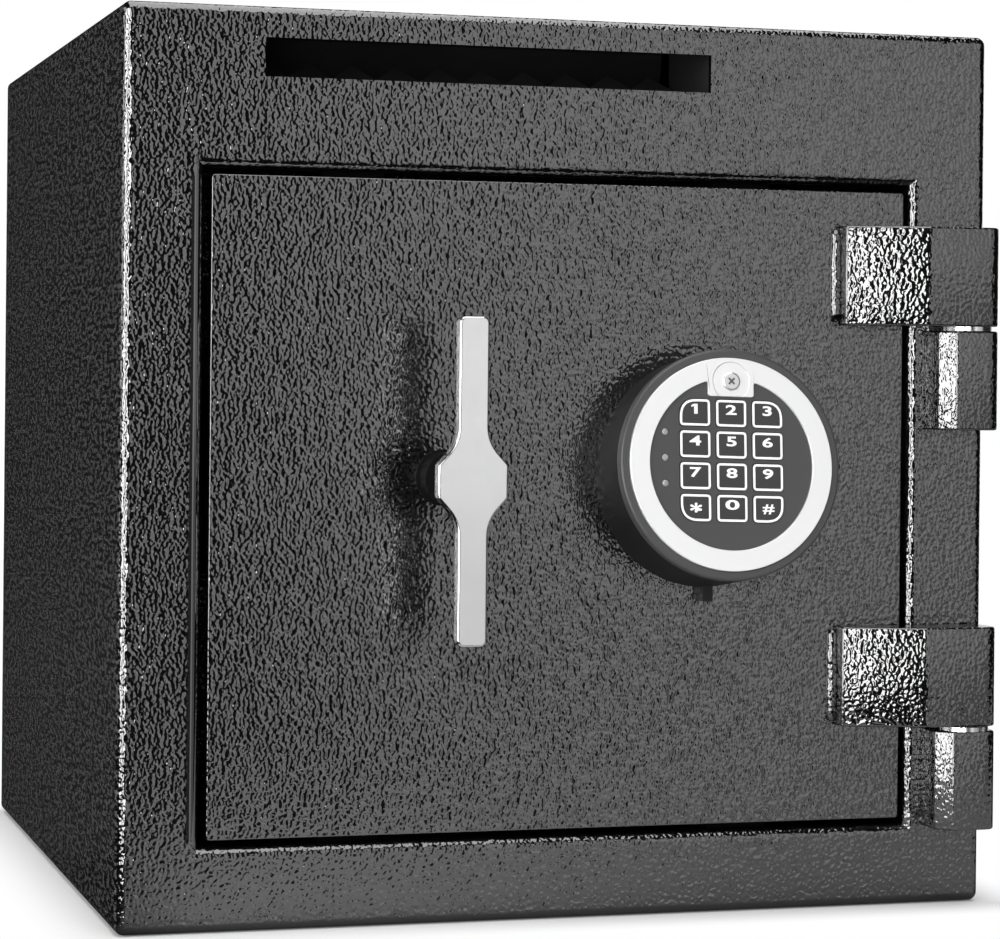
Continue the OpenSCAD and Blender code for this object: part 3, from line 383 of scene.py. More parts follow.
def inset(outline, distance):
    """A counter-clockwise outline moved inwards: each point goes along the mean of its two edges'
    inward normals, further at sharp corners."""
    before = unit(outline - np.roll(outline, 1, 0))
    after = unit(np.roll(outline, -1, 0) - outline)
    n1 = np.stack([-before[:, 1], before[:, 0]], -1)
    n2 = np.stack([-after[:, 1], after[:, 0]], -1)
    return outline + distance * (n1 + n2) / (1 + np.sum(n1 * n2, -1, keepdims=True)).clip(0.4)


def slab(outline, layers, axes):
    """A solid from an outline: one copy of it for each layer of (inset, level), joined in order, and
    closed by one face at each end. axes gives where the outline's two axes and the level go."""
    rings = np.stack([np.column_stack([inset(outline, by), np.full(len(outline), level)])
                      for by, level in layers])
    points = np.empty_like(rings)
    points[..., list(axes)] = rings
    count = len(outline)
    faces = lattice(len(layers), count, loop_cols=True).tolist()
    faces += [list(range(count - 1, -1, -1)), list(range((len(layers) - 1) * count, len(layers) * count))]
    return points.reshape(-1, 3), faces


def rounded_ends(low, high, radius, steps=5):
    """Layers for slab: from low to high, with a quarter circle of that radius at both ends, and a
    narrow flat margin inside it that keeps the end faces shaded flat."""
    a = np.linspace(0, np.pi / 2, steps)
    flat = radius + 0.0003
    first = np.column_stack([radius * (1 - np.sin(a)), low + radius * (1 - np.cos(a))])
    last = np.column_stack([radius * (1 - np.cos(a)), high - radius * (1 - np.sin(a))])
    return np.concatenate([[(flat, low)], first, last, [(flat, high)]])


def turned(profile, x, z, steps, closed=False):
    """A profile of (radius, depth) turned about the axis along the depth through x, z: every point
    runs round at its radius and keeps its depth."""
    profile = np.asarray(profile, float)
    round_ = np.linspace(0, 2 * np.pi, steps, endpoint=False)
    points = np.empty((len(profile), steps, 3))
    points[..., 0] = x + profile[:, :1] * np.cos(round_)
    points[..., 1] = profile[:, 1:]
    points[..., 2] = z + profile[:, :1] * np.sin(round_)
    return points.reshape(-1, 3), lattice(len(profile), steps, closed, True).tolist()


def join(*shapes):
    """Several (points, faces) as one."""
    points, faces, start = [], [], 0
    for some_points, some_faces in shapes:
        points.append(some_points)
        faces += [[start + i for i in face] for face in some_faces]
        start += len(some_points)
    return np.concatenate(points), faces


def piece(name, shape, material, body, stands_for=(), smooth=40, outward=True):
    """A finished piece: the mesh of (points, faces), shaded smooth up to that many degrees, with its
    material, the body that it rides on and the CAD nodes that it stands for."""
    points, faces = shape
    mesh = bpy.data.meshes.new(name)
    mesh.from_pydata(np.asarray(points, float).tolist(), [], faces)
    if outward:
        work = bmesh.new()
        work.from_mesh(mesh)
        bmesh.ops.remove_doubles(work, verts=work.verts, dist=1e-7)
        bmesh.ops.recalc_face_normals(work, faces=work.faces)
        work.to_mesh(mesh)
        work.free()
    mesh.shade_smooth()
    mesh.set_sharp_from_angle(angle=math.radians(smooth))
    mesh.materials.append(material)
    made = bpy.data.objects.new(name, mesh)
    bpy.context.scene.collection.objects.link(made)
    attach(made, body)
    if stands_for:
        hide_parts(*stands_for)
    return made


def paint_nodes(material, *names):
    """Gives CAD nodes that material."""
    for name in names:
        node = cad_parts[name]
        node.data.materials.clear()
        node.data.materials.append(material)


def corners(name):
    """Lowest and highest corner of a CAD node, as arrays."""
    low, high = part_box(name)
    return np.array(low), np.array(high)


def leaned(shape):
    """A shape of the keypad put in place: turned about its axis by TURN, leaned back by LEAN and
    moved to the middle of the keypad's front, which lies half a bezel in front of the bezel's middle."""
    points, faces = shape
    turn = np.array(Matrix.Rotation(-LEAN, 3, "X") @ Matrix.Rotation(TURN, 3, "Y"))
    low, high = corners("keypad_bezel")
    middle = (low + high) / 2 - turn @ (0, BEZEL_DEPTH / 2, 0)
    return np.asarray(points, float) @ turn.T + middle, faces


@functools.cache
def coat():
    """The pebbled coat, made once."""
    return pebbled_paint(bpy.context.scene.safe_paint)


@functools.cache
def zinc():
    """Bright zinc plating, made once."""
    return metal("zinc_plating", (0.62, 0.62, 0.63), 0.3)


# ---- operators ----

class SAFE_OT_body(bpy.types.Operator):
    """Paint the folded body, its frame, the slot's sheets and the mat"""
    bl_idname = "safe.body"
    bl_label = "Body and slot"

    def execute(self, context):
        look = context.scene.safe_paint
        paint_nodes(coat(), "body_wrap", "front_frame", "back_panel")
        inner = satin_paint("satin_grey", tuple(look.inner_colour))
        paint_nodes(inner, "strike_bar", "dead_bar", "bolt_guide", "mechanism_cover")
        black = satin_paint("satin_black", (0.006, 0.006, 0.006), 0.75)
        paint_nodes(black, "slot_tray", "tooth_comb", "deflector")
        paint_nodes(plastic("stop_rubber", (0.003, 0.003, 0.003), 0.9, shine=0.0), "door_stops")
        paint_nodes(felt("mat_felt", (0.035, 0.035, 0.038)), "floor_mat")
        return {"FINISHED"}


class SAFE_OT_door(bpy.types.Operator):
    """Build the door plate with eased edges"""
    bl_idname = "safe.door"
    bl_label = "Door plate"

    def execute(self, context):
        low, high = corners("door_plate")
        corner, edge = 0.0015, 0.0004
        outline = eased([(low[0], low[2]), (high[0], low[2]), (high[0], high[2]), (low[0], high[2])], corner)
        layers = rounded_ends(low[1], high[1], edge)
        piece("door_slab", slab(outline, layers, (0, 2, 1)), coat(), DOOR, ["door_plate"])
        return {"FINISHED"}


class SAFE_OT_hinges(bpy.types.Operator):
    """Build the hinge blocks, knuckles and weld beads, and finish the pins and washers"""
    bl_idname = "safe.hinges"
    bl_label = "Hinges"

    def execute(self, context):
        look = context.scene.safe_hinge
        face = corners("door_plate")[0][1]
        for end in ("upper", "lower"):
            self.block(end, look, face)
            self.knuckle(end, look, face)
        paint_nodes(zinc(), "hinge_pins")
        paint_nodes(metal("washer_steel", (0.9, 0.9, 0.9), 0.22), "hinge_washers")
        return {"FINISHED"}

    def block(self, end, look, face):
        """The block's plan: foot on the door, slope, front, rounded nose and barrel at the back."""
        low, high = corners("hinge_block_" + end)
        weld, foot, slope, pin_ahead, barrel_r = 0.0036, 0.0087, 0.032, 0.0126, 0.012
        toe, front, right = low[0] + weld, low[1], high[0]
        back, door_edge = face - pin_ahead + barrel_r, corners("door_plate")[1][0]
        plan = [(toe, face), (toe, face - foot), (toe + slope, front), (right, front), (right, back),
                (door_edge, back), (door_edge, face)]
        outline = eased(plan, [0.0002, 0.0008, 0.0012, 0.0055, 0.0110, 0.0003, 0.0002], 9)
        layers = rounded_ends(low[2], high[2], look.edge)
        piece("hinge_wing_" + end, slab(outline, layers, (0, 1, 2)), coat(), DOOR,
              ["hinge_block_" + end])
        self.bead(end, look, toe, face, low[2], high[2])

    def knuckle(self, end, look, face):
        """The fixed knuckle's plan: chamfered in front at the left, rounded at the right."""
        low, high = corners("fixed_knuckle_" + end)
        chamfer = 0.0058
        plan = [(low[0], face), (low[0], low[1] + chamfer), (low[0] + chamfer, low[1]),
                (high[0], low[1]), (high[0], face)]
        outline = eased(plan, [0.0002, 0.0006, 0.0006, 0.0055, 0.0002], 9)
        layers = rounded_ends(low[2], high[2], look.edge)
        piece("hinge_knuckle_" + end, slab(outline, layers, (0, 1, 2)), coat(), BODY,
              ["fixed_knuckle_" + end])

    def bead(self, end, look, toe, face, bottom, top):
        """The weld at the block's foot: a round bar along z whose radius and middle swell in
        overlapping ripples, tapered to nothing at its two ends."""
        rows, sides, short = 120, 20, 0.0012
        along = np.linspace(0, 1, rows)[:, None]
        around = np.linspace(0, 2 * np.pi, sides, endpoint=False)[None, :]
        ripple = 0.008 * np.abs(np.sin(along * 41.0)) + 0.006 * np.sin(along * 67.0 + 1.3)
        taper = np.sqrt(np.clip(1 - (2 * along - 1) ** 12, 0, 1))
        radius = look.bead * (0.92 + ripple) * taper
        points = np.empty((rows, sides, 3))
        points[..., 0] = toe - 0.001 + 0.0001 * np.sin(along * 17.0) + radius * np.cos(around)
        points[..., 1] = face - 0.0004 + 0.9 * radius * np.sin(around)
        points[..., 2] = bottom + short + (top - bottom - 2 * short) * along
        shape = points.reshape(-1, 3), lattice(rows, sides, False, True).tolist()
        piece("weld_bead_" + end, shape, coat(), DOOR, smooth=80)


class SAFE_OT_handle(bpy.types.Operator):
    """Build the turning handle and finish its shaft and collar"""
    bl_idname = "safe.handle"
    bl_label = "Handle"

    def execute(self, context):
        look = context.scene.safe_handle
        low, high = corners("handle_grip")
        middle = (low + high) / 2
        outline = self.outline((high[2] - low[2]) / 2, (high[0] - low[0]) / 2) + middle[[0, 2]]
        layers = [(by, -level) for by, level in rounded_ends(-high[1], -low[1], look.edge, 6)]
        chrome = metal("polished_chrome", tuple(look.colour), 0.12, width=0.004, depth=0.000003, dull=0.97)
        shape = slab(outline, layers, (0, 2, 1))
        piece("handle_blade", shape, chrome, "handle", ["handle_grip"], smooth=30)
        black = plastic("handle_black", (0.004, 0.004, 0.004), 0.6, shine=0.1)
        paint_nodes(black, "handle_collar", "handle_shaft")
        return {"FINISHED"}

    def outline(self, half_length, half_hub):
        """The handle's outline about its middle, counter-clockwise: a narrow bar that flares through
        an arc and a straight into a short flat hub, the same at both ends and both sides."""
        bar, flat, flare, turn, corner = 0.00575, 0.0062, 0.015, math.radians(42), 0.0024
        rise = (half_hub - bar - flare * (1 - math.cos(turn))) / math.tan(turn)
        start = flat + rise + flare * math.sin(turn)
        a = np.linspace(0, turn, 12)
        b = np.linspace(0, np.pi / 2, 8)
        flared = np.column_stack([bar + flare * (1 - np.cos(a)), start - flare * np.sin(a)])
        hub = np.array([[half_hub - 0.0003, flat + 0.0004], [half_hub, flat - 0.0003]])
        tip = np.column_stack([bar - corner * (1 - np.cos(b)), half_length - corner * (1 - np.sin(b))])
        quarter = np.concatenate([hub[::-1], flared[::-1], tip])
        right = np.concatenate([quarter[::-1] * (1, -1), quarter])
        return np.concatenate([right, right[::-1] * (-1, 1)])


class SAFE_OT_keypad(bpy.types.Operator):
    """Build the keypad's rim, ring, screw and lenses, and finish its housing"""
    bl_idname = "safe.keypad"
    bl_label = "Keypad housing"

    def execute(self, context):
        look = context.scene.safe_keypad
        paint_nodes(plastic("housing_plastic", tuple(look.housing), 0.5, shine=0.3), "keypad_base")
        # Painted sheen: the rim's grey, seven times the housing's colour, stands for the lamps' reflection on
        # it
        rim = plastic("rim_plastic_sheen", tuple(7 * c for c in look.housing), 0.36)
        piece("keypad_rim", leaned(self.rim()), rim, DOOR, ["keypad_bezel"], smooth=30)
        piece("ring_plate", leaned(self.ring()), self.silver(look), DOOR, ["keypad_ring"],
              smooth=30)
        steel = metal("screw_steel", (0.92, 0.92, 0.92), 0.3)
        piece("ring_screw", leaned(self.screw()), steel, DOOR, ["keypad_screw"], smooth=35)
        # Painted shade: grey bars at the floor of the screw's cross stand for the shade in it
        grey = plastic("recess_shade_grey", (0.12, 0.12, 0.12), 0.5)
        piece("screw_recess_shade", leaned(self.recess()), grey, DOOR)
        self.lenses()
        paint_nodes(key_film("face_film", 1.0), "keypad_face")
        return {"FINISHED"}

    def silver(self, look):
        """Bright silver lacquer on plastic, with a shallow round dish about the screw."""
        finish = Finish("silver_lacquer", tuple(look.silver), metallic=0.25)
        where = finish.place()
        cloud = finish.noise(where, 0.0007, 2.0)
        middle = leaned(([(0, -RING_PROUD, SCREW_UP)], []))[0][0]
        away = finish.value("ShaderNodeVectorMath", {"operation": "DISTANCE"}, {
            0: where, 1: tuple(middle)}, "Value")
        dish = away.step(DISH_R - 0.0004, DISH_R)
        return finish.feed(roughness=0.2 + 0.08 * cloud, normal=finish.bump(dish + 0.01 * cloud, 0.0003))

    def rim(self):
        """The front bezel: a turned ring with a rounded shoulder and a fine groove at its seam."""
        a = np.linspace(0, np.pi / 2, 8)
        radius, back, inside = KEYPAD_R, BEZEL_DEPTH, RING_R + 0.0002
        soft, groove = 0.0012, radius - 0.0007
        shoulder = np.column_stack([radius - soft * (1 - np.cos(a)), soft * (1 - np.sin(a))])
        profile = np.concatenate([
            [(inside + 0.0003, back), (groove, back), (groove, back - 0.0004), (radius, back - 0.0005)],
            shoulder,
            [(inside + 0.0001, 0), (inside, 0.0002), (inside, 0.0015)]])
        return turned(profile, 0, 0, 160, True)

    def ring(self):
        """The ring: its outer circle and its inner outline, which drops as a tab at the top, are
        matched point by point; a cross-section with eased edges is carried along the two."""
        wide, ease, round_ = TAB_W / 2, 0.0013, 0.0003
        meet = math.asin(wide / RING_IN)
        open_ = meet + 0.035
        top = math.pi / 2
        sweep = np.linspace(top + open_, top + 2 * np.pi - open_, 150)
        arc = RING_IN * np.column_stack([np.cos(sweep), np.sin(sweep)])
        high = RING_IN * math.cos(meet)
        t = np.linspace(0, 1, 7)[:, None]

        def bend(start, handle, end):
            start, handle, end = np.array(start), np.array(handle), np.array(end)
            return (1 - t) ** 2 * start + 2 * t * (1 - t) * handle + t ** 2 * end

        right = [bend(arc[-1], (wide, high), (wide, high - ease)),
                 bend((wide, TAB_LOW + ease), (wide, TAB_LOW), (wide - ease, TAB_LOW))]
        left = [bend((-wide + ease, TAB_LOW), (-wide, TAB_LOW), (-wide, TAB_LOW + ease)),
                bend((-wide, high - ease), (-wide, high), arc[0])]
        foot = np.column_stack([np.linspace(wide - 2 * ease, 2 * ease - wide, 24), np.full(24, TAB_LOW)])
        inner = np.concatenate([arc[1:-1], *right, foot, *left])
        side = np.concatenate([np.linspace(open_, 0.25, 7), np.linspace(0.235, 0.215, 7)])
        spread = np.concatenate([sweep[1:-1] - 2 * np.pi, top - side, top + np.linspace(-0.2, 0.2, 24),
                                 top + side[::-1]])
        outer = RING_R * np.column_stack([np.cos(spread), np.sin(spread)])
        a = np.linspace(0, np.pi / 2, 5)
        edge = [(round_ * (1 - math.cos(v)), round_ * (1 - math.sin(v)) - RING_PROUD) for v in a]
        rows = [(outer, 0, RING_BACK)] + [(outer, by, level) for by, level in edge]
        rows += [(outer, round_ + 0.0001, -RING_PROUD), (inner, -round_ - 0.0001, -RING_PROUD)]
        rows += [(inner, -by, level) for by, level in edge[::-1]] + [(inner, 0, RING_BACK)]
        points = np.empty((len(rows), len(outer), 3))
        for row, (loop, by, level) in zip(points, rows):
            row[:, [0, 2]] = inset(loop, by)
            row[:, 1] = level
        return points.reshape(-1, 3), lattice(len(rows), len(outer), True, True).tolist()

    def screw(self):
        """The screw's pan head: a disc with a rounded rim on a polar grid, sunk where the smaller of
        the two distances from the cross's arms is under half an arm's width."""
        sides, head, deep = 128, 0.0008, 0.0006
        a = np.linspace(0, 2 * np.pi, sides, endpoint=False)[None, :]
        r = np.concatenate([np.linspace(0.00001, 0.0026, 44), np.linspace(0.0027, SCREW_R, 12)])[:, None]
        x, z = r * np.cos(a), r * np.sin(a)
        fall = np.clip((r - SCREW_R + 0.0009) / 0.0009, 0, 1)
        top = -RING_PROUD - head * np.sqrt(1 - fall ** 2)
        u, v = abs(x + z) / math.sqrt(2), abs(x - z) / math.sqrt(2)
        arm, length = np.minimum(u, v), np.maximum(u, v)
        sunk = np.clip((RECESS_W / 2 - arm) / 0.00008, 0, 1) * np.clip((RECESS_L / 2 - length) / 0.0001, 0, 1)
        rows = len(r) + 2
        points = np.zeros((rows, sides, 3))
        points[:-2, :, 0], points[:-2, :, 2] = x, z
        points[:-2, :, 1] = top + deep * sunk
        points[-2] = points[-3] + (0, 0.0002, 0)
        points[-1, :, 1] = -RING_PROUD + 0.0002
        points[..., 2] += SCREW_UP
        return points.reshape(-1, 3), lattice(rows, sides, True, True).tolist()

    def recess(self):
        """Painted shade at the floor of the screw's cross: two thin grey crossing bars."""
        level = -RING_PROUD - 0.0004
        half = np.array([[-RECESS_L, -RECESS_W], [RECESS_L, -RECESS_W], [RECESS_L, RECESS_W],
                         [-RECESS_L, RECESS_W]]) / 2 * 0.98
        shapes = []
        for turn in (1, -1):
            spun = np.column_stack([half[:, 0] - turn * half[:, 1], turn * half[:, 0] + half[:, 1]])
            bar = spun / math.sqrt(2) + (0, SCREW_UP)
            shapes.append(slab(bar, [(0, level), (0, level + 0.0002)], (0, 2, 1)))
        return join(*shapes)

    def lenses(self):
        """Three low domes of smoked plastic."""
        radius, rise, left, middle, pitch = 0.0013, 0.0005, -0.0272, 0.002, 0.01
        a = np.linspace(0, np.pi / 2, 8)
        dome = np.column_stack([0.00001 + radius * np.cos(a), -0.0001 - rise * np.sin(a)])
        foot = np.array([(radius, 0.001)])
        shapes = [turned(np.concatenate([foot, dome]), left, middle + step * pitch, 32)
                  for step in (-1, 0, 1)]
        lens = Finish("indicator_lens", roughness=0.18)
        tint = lens.noise(lens.place(), 0.0006, 1.0)
        lens.feed(base_color=lens.mix(tint, (0.2, 0.2, 0.2), (0.4, 0.4, 0.4)))
        piece("indicator_lenses", leaned(join(*shapes)), lens.material, DOOR, ["led_lenses"])


def key_film(name, share):
    """The glossy face film, at a share of its colour."""
    finish = Finish(name, tuple(share * c for c in bpy.context.scene.safe_keypad.film))
    grain = finish.noise(finish.place(), 0.0003, 2.0)
    return finish.feed(roughness=0.28 + 0.1 * grain, normal=finish.bump(grain, 0.000006, 0.5))


class SAFE_OT_keys(bpy.types.Operator):
    """Build the twelve keys with their printed outlines and digits"""
    bl_idname = "safe.keys"
    bl_label = "Keys"

    def execute(self, context):
        look = context.scene.safe_keypad
        ink = Finish("print_ink", tuple(look.ink))
        speckle = ink.noise(ink.place(), 0.0002, 2.0)
        ink.feed(roughness=0.45 + 0.1 * speckle)
        dark = key_film("key_film", 0.6)
        for place, (node, sign) in enumerate(KEYS.items()):
            self.key(node, sign, place // 3, place % 3, look, dark, ink.material)
        return {"FINISHED"}

    def key(self, node, sign, row, col, look, dark, ink):
        """One key: its cap, then its printed outline and sign just over the cap."""
        middle = np.array([(col - 1) * KEY_PITCH[0], KEY_RISE + (1.5 - row) * KEY_PITCH[1]])
        w, h = KEY_SIZE[0] / 2, KEY_SIZE[1] / 2
        reaches = [look.corner if (row, col) == where else look.rounding
                   for where in ((3, 0), (3, 2), (0, 2), (0, 0))]
        outline = eased([(-w, -h), (w, -h), (w, h), (-w, h)], reaches, 12) + middle
        front, back, soft = -KEY_PROUD, 0.0038, 0.0002
        a = np.linspace(0, np.pi / 2, 5)
        layers = [(0, back)] + [(soft * (1 - math.cos(v)), front + soft * (1 - math.sin(v))) for v in a]
        cap = slab(outline, layers, (0, 2, 1))
        piece("cap_" + node, leaned(cap), dark, node, [node], smooth=35)
        levels = (front - 0.00004, front + 0.00002)
        line = slab_ring(inset(outline, soft), look.line, levels)
        glyph = digit(sign, look.digit, middle, levels)
        piece("print_" + node, leaned(join(line, glyph)), ink, node, outward=False)


def slab_ring(outline, width, levels):
    """A flat line of that width inside an outline, between two depths: four copies of the outline
    joined into a closed band."""
    front, back = levels
    rows = [(0, back), (0, front), (width, front), (width, back)]
    points = np.empty((4, len(outline), 3))
    for ring, (by, level) in zip(points, rows):
        ring[:, [0, 2]] = inset(outline, by)
        ring[:, 1] = level
    return points.reshape(-1, 3), lattice(4, len(outline), True, True).tolist()


def digit(sign, height, middle, levels):
    """A wide heavy sign as a mesh, from the built-in typeface, thickened and stretched sideways. The 1
    gets the flag that the typeface's thin one lacks."""
    curve = bpy.data.curves.new("sign", "FONT")
    curve.body = sign
    curve.size = 1.0
    curve.offset = 0.018 if sign in "*#" else 0.026
    curve.resolution_u = 4
    holder = bpy.data.objects.new("sign", curve)
    bpy.context.scene.collection.objects.link(holder)
    bpy.context.view_layer.update()
    flat = bpy.data.meshes.new_from_object(holder.evaluated_get(bpy.context.evaluated_depsgraph_get()))
    count = len(flat.vertices)
    spots = np.empty(count * 3)
    flat.vertices.foreach_get("co", spots)
    spots = spots.reshape(-1, 3)[:, :2]
    faces = [list(p.vertices) for p in flat.polygons]
    bpy.data.objects.remove(holder)
    bpy.data.curves.remove(curve)
    bpy.data.meshes.remove(flat)
    low, high = spots.min(0), spots.max(0)
    scale = height / (high[1] - low[1])
    spots = (spots - (low + high) / 2) * scale * (SIGN_STRETCH.get(sign, DIGIT_STRETCH), 1.0)
    if sign == "1":
        flag = np.array([[-0.48, 0.19], [-0.12, 0.27], [-0.12, 0.5], [-0.20, 0.5], [-0.48, 0.35]]) * height
        spots = np.concatenate([spots, flag]) + (0.1 * height, 0)
        faces += [list(range(count, count + 5))]
    rise = 0.0 if sign in "*#" else DIGIT_UP
    across = middle + (0, rise) + spots
    return np.column_stack([across[:, 0], np.full(len(spots), levels[0]), across[:, 1]]), faces


class SAFE_OT_works(bpy.types.Operator):
    """Finish the bolt work, the lock and the electronics"""
    bl_idname = "safe.works"
    bl_label = "Bolt work and lock"

    def execute(self, context):
        yellow = metal("yellow_zinc", (0.66, 0.60, 0.42), 0.32)
        paint_nodes(yellow, "carriage", "lock_cover")
        paint_nodes(zinc(), "lock_screws", "cover_posts", "cover_screws", "guide_studs", "cam_nut",
                    "bolt_screws", "keypad_mount_screws", "cam")
        paint_nodes(metal("bolt_steel", (0.72, 0.72, 0.73), 0.2, (0.15, 1, 1)), "locking_bolts")
        paint_nodes(metal("hard_steel", (0.10, 0.10, 0.11), 0.5), "hard_plate")
        paint_nodes(metal("cast_zinc", (0.5, 0.5, 0.51), 0.45, width=0.0012, depth=0.00006), "lock_case")
        paint_nodes(metal("bolt_brass", (0.72, 0.55, 0.26), 0.28), "lock_bolt")
        paint_nodes(metal("coil_copper", (0.55, 0.22, 0.10), 0.4, (1, 1, 6)), "solenoid")
        paint_nodes(plastic("board_green", (0.015, 0.14, 0.05), 0.35, 0.002, 0.00003),
                    "lock_board", "keypad_board")
        paint_nodes(plastic("lead_jacket", (0.015, 0.015, 0.016), 0.5), "lock_lead")
        paint_nodes(plastic("battery_can", (0.05, 0.05, 0.06), 0.3), "battery")
        return {"FINISHED"}


# Each lamp's place, aim, width and height, and power
LAMPS = {
    "lamp_near_high": ((2.404, -7.717, 2.1), (0.0, FRONT_Y, 2.1), (2.041, 4.6), 30.7),
    "lamp_near_low": ((2.404, -7.717, -1.5), (0.0, FRONT_Y, -1.5), (2.041, 2.6), 13.7),
    "lamp_far_high": ((4.755, -6.365, 2.2), (0.0, FRONT_Y, 2.2), (3.466, 4.4), 31.6),
    "lamp_far_low": ((4.755, -6.365, -1.4), (0.0, FRONT_Y, -1.4), (3.466, 2.8), 10.4),
    "lamp_strip_a": ((-1.17, -3.42, 0.5), (0.0, FRONT_Y, 0.5), (0.73, 2.2), 38),
    "lamp_strip_b": ((-2.17, -2.39, 0.5), (0.0, FRONT_Y, 0.5), (0.63, 2.2), 33),
    "lamp_strip_c": ((-2.88, -1.38, 0.5), (0.0, FRONT_Y, 0.5), (0.94, 2.2), 48),
    "lamp_side": ((-3.10, 0.41, 0.5), (0.0, FRONT_Y, 0.5), (1.04, 2.2), 14),
    "lamp_key": ((-0.2, -1.3, 2.0), (0.0, FRONT_Y, 0.35), (1.9, 1.6), 24),
    "lamp_top": ((0.1, 0.3, 2.2), (0.0, 0.0, 0.2), (1.8, 1.8), 26),
}
FLOOR_R, FLOOR_FRONT, FLOOR_LEVEL = 14, -0.36, -0.0004
# The point behind the safe, along x and y, that the floor's grey fans out from
FAN_X, FAN_Y = -0.365, 0.973
CAMERA_PLACE, CAMERA_TURN = (-0.3647, -1.3178, 0.2129), (-16.32, 0.20, 0.55)


class SAFE_OT_stage(bpy.types.Operator):
    """Set the camera, the floor, the lamps and the world"""
    bl_idname = "safe.stage"
    bl_label = "Studio"

    def execute(self, context):
        look = context.scene.safe_stage
        self.camera(context)
        self.floor(look)
        self.world(context, look)
        for name, (place, aim, size, power) in LAMPS.items():
            self.lamp(name, place, aim, size, power * look.lamps)
        return {"FINISHED"}

    def camera(self, context):
        """The photograph's camera: turned by yaw about z, then pitch and a little roll."""
        yaw, pitch, roll = map(math.radians, CAMERA_TURN)
        turn = Matrix.Rotation(roll, 3, "Z") @ Matrix.Rotation(pitch, 3, "X") @ Matrix.Rotation(yaw, 3, "Y")
        right, down, ahead = [(row[0], row[2], -row[1]) for row in turn]
        lens = bpy.data.cameras.new("photo_camera")
        lens.sensor_fit = "HORIZONTAL"
        lens.sensor_width = 36
        lens.lens = 109.9
        lens.shift_x, lens.shift_y = 0.0016, -0.0819
        lens.clip_start, lens.clip_end = 0.05, 60
        holder = bpy.data.objects.new("photo_camera", lens)
        axes = Matrix((right, [-v for v in down], [-v for v in ahead])).transposed()
        holder.matrix_world = Matrix.Translation(CAMERA_PLACE) @ axes.to_4x4()
        context.scene.collection.objects.link(holder)
        context.scene.camera = holder

    def floor(self, look):
        """A wide pale half disc whose front edge lies just ahead of the safe, greyer there towards the
        right. What the camera and reflections see of it turns to plain white towards the backdrop and
        keeps the shadow near the safe. Reflections see it lit ahead of the safe, right of a line that
        runs forward from the safe's left front edge, and the dim room elsewhere."""
        a = np.linspace(0, 2 * np.pi, 96, endpoint=False)
        points = np.column_stack([FLOOR_R * np.cos(a), (FLOOR_R * np.sin(a)).clip(FLOOR_FRONT),
                                  np.full(len(a), FLOOR_LEVEL)])
        mesh = bpy.data.meshes.new("floor")
        mesh.from_pydata(points.tolist(), [], [list(range(len(a)))])
        disc = bpy.data.objects.new("floor", mesh)
        bpy.context.scene.collection.objects.link(disc)
        finish = Finish("floor_white", roughness=0.9)
        spot = finish.node("ShaderNodeTexCoord").outputs["Object"]
        across, along, _ = finish.split(spot)
        ahead = 1 - along.step(-0.21, -0.15)
        right = ((across - FAN_X) / (FAN_Y - along)).step(0.2, 0.45) * ahead
        finish.feed(base_color=finish.mix(right, tuple(look.floor), tuple(0.55 * c for c in look.floor)))
        far = (across.size() - HALF_WIDTH).most(along.size() - HALF_DEPTH).step(-0.01, 0.03)
        towards = finish.node("ShaderNodeVectorMath", {"operation": "NORMALIZE"}, {0: spot}).outputs[0]
        camera, mirrored = light_seen(finish)
        glow = finish.node("ShaderNodeEmission", None, {"Color": (1, 1, 1), "Strength": 1.0}).outputs[0]
        dim = finish.node("ShaderNodeEmission", None, {
            "Color": dim_room(finish, towards), "Strength": 1.0}).outputs[0]
        beside = (across + 0.165) * 0.985 + (along + HALF_DEPTH) * 0.172
        lit = beside.step(-0.05, 0.03) * ahead
        behind = backdrop(finish, towards)
        room = finish.node("ShaderNodeMixShader", None, {
            0: mirrored * (1 - lit.most(behind)), 1: finish.shader.outputs[0], 2: dim}).outputs[0]
        blend = finish.node("ShaderNodeMixShader", None, {
            0: far * camera.most(mirrored * behind), 1: room, 2: glow})
        finish.put(finish.tree.nodes["Material Output"].inputs["Surface"], blend.outputs[0])
        mesh.materials.append(finish.material)

    def world(self, context, look):
        """Plain soft light from all round. The camera sees plain white, and reflections see it in the
        backdrop's direction and the dim room elsewhere."""
        world = bpy.data.worlds.new("studio")
        world.use_nodes = True
        context.scene.world = world
        context.scene.view_settings.view_transform = "Standard"
        sky = Nodes(world.node_tree)
        soft = sky.tree.nodes["Background"]
        soft.inputs["Strength"].default_value = 1.0
        camera, mirrored = light_seen(sky)
        towards = sky.node("ShaderNodeTexCoord").outputs["Generated"]
        sky.put(soft.inputs["Color"], look.light * (1 - mirrored) + dim_room(sky, towards) * mirrored)
        white = sky.node("ShaderNodeBackground", None, {"Color": (1, 1, 1), "Strength": 1.0})
        behind = backdrop(sky, towards)
        blend = sky.node("ShaderNodeMixShader", None, {
            0: camera.most(mirrored * behind), 1: soft.outputs[0], 2: white.outputs[0]})
        sky.put(sky.tree.nodes["World Output"].inputs["Surface"], blend.outputs[0])

    def lamp(self, name, place, aim, size, power):
        """A rectangular soft lamp that faces its aim."""
        lamp = bpy.data.lights.new(name, "AREA")
        lamp.shape = "RECTANGLE"
        lamp.size, lamp.size_y = size
        lamp.energy = power
        holder = bpy.data.objects.new(name, lamp)
        holder.location = place
        holder.rotation_euler = (Vector(aim) - Vector(place)).to_track_quat("-Z", "Y").to_euler()
        holder.visible_camera = False
        bpy.context.scene.collection.objects.link(holder)


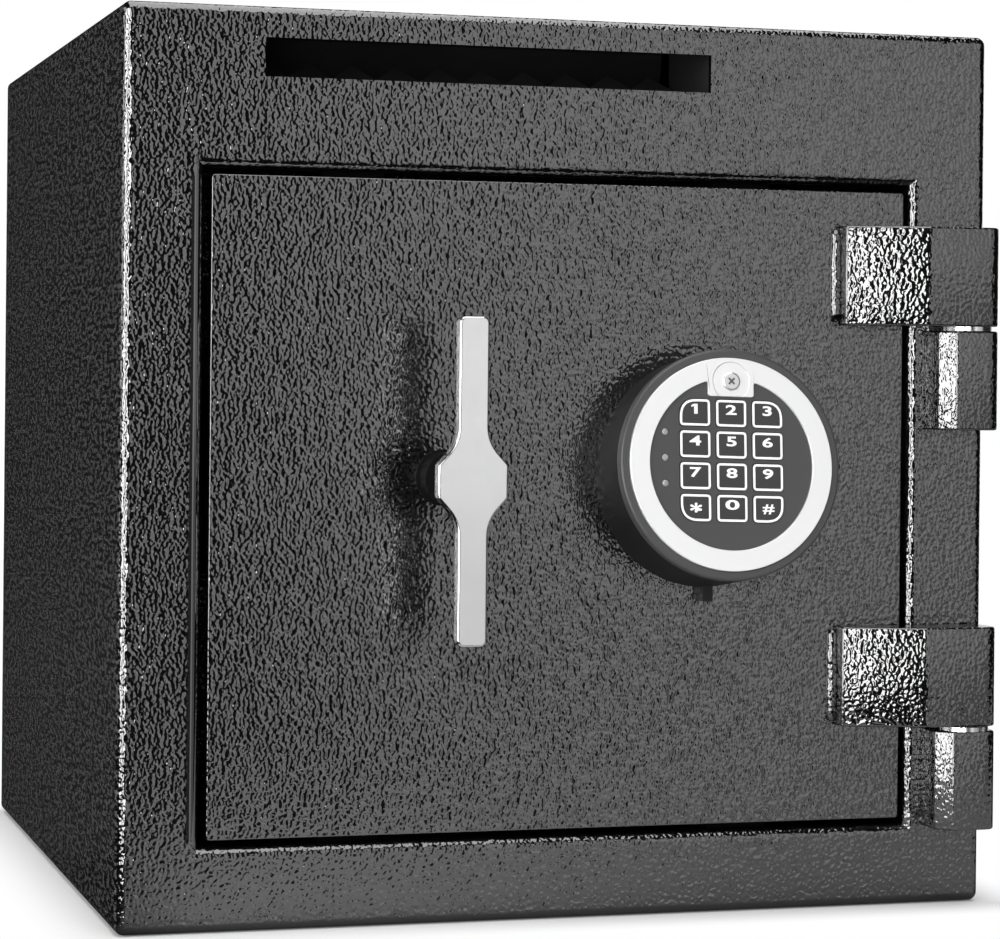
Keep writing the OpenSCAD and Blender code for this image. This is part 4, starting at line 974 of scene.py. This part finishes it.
def light_seen(finish):
    """Two values: 1 for rays from the camera, and 1 for rays in reflections and through glass."""
    rays = finish.node("ShaderNodeLightPath").outputs
    camera, glossy, through = [Value(finish, rays[name]) for name in (
        "Is Camera Ray", "Is Glossy Ray", "Is Transmission Ray")]
    return camera, glossy.most(through)


def dim_room(finish, towards):
    """Grey of the dim room in reflections: nearly black ahead of the safe, and behind it a grey that
    grows to the left."""
    across, along, _ = finish.split(towards)
    return 0.012 + along.step(-0.1, 0.4) * 0.012 * (0 - across).step(0.08, 0.20)


def backdrop(finish, towards):
    """1 in the level direction of the white backdrop, behind the safe and to its right."""
    return finish.value("ShaderNodeVectorMath", {"operation": "DOT_PRODUCT"}, {
        0: towards, 1: (0.6, 0.8, 0.0)}, "Value").step(0.88, 0.96)


class SAFE_PT_looks(bpy.types.Panel):
    """Buttons for the safe's pieces and its studio"""
    bl_label = "Drop Safe"
    bl_idname = "SAFE_PT_looks"
    bl_space_type = "VIEW_3D"
    bl_region_type = "UI"
    bl_category = "Safe"

    def draw(self, context):
        for operator in OPERATORS:
            self.layout.operator(operator.bl_idname)
        for name in SETTINGS:
            box = self.layout.box()
            look = getattr(context.scene, name)
            for key in look.bl_rna.properties.keys():
                if key not in {"rna_type", "name"}:
                    box.prop(look, key)


OPERATORS = (SAFE_OT_body, SAFE_OT_door, SAFE_OT_hinges, SAFE_OT_handle, SAFE_OT_keypad, SAFE_OT_keys,
             SAFE_OT_works, SAFE_OT_stage)


def register():
    """Registers the classes and puts the settings on the scene."""
    for group in (*SETTINGS.values(), *OPERATORS, SAFE_PT_looks):
        bpy.utils.register_class(group)
    for name, group in SETTINGS.items():
        setattr(bpy.types.Scene, name, bpy.props.PointerProperty(type=group))


def unregister():
    """Takes the settings off the scene and the classes out again."""
    for name in SETTINGS:
        delattr(bpy.types.Scene, name)
    for group in (SAFE_PT_looks, *reversed(OPERATORS), *reversed(list(SETTINGS.values()))):
        bpy.utils.unregister_class(group)


def main():
    """Makes every piece and the studio."""
    register()
    for operator in OPERATORS:
        family, verb = operator.bl_idname.split(".")
        getattr(getattr(bpy.ops, family), verb)()


if __name__ == "__main__":
    main()
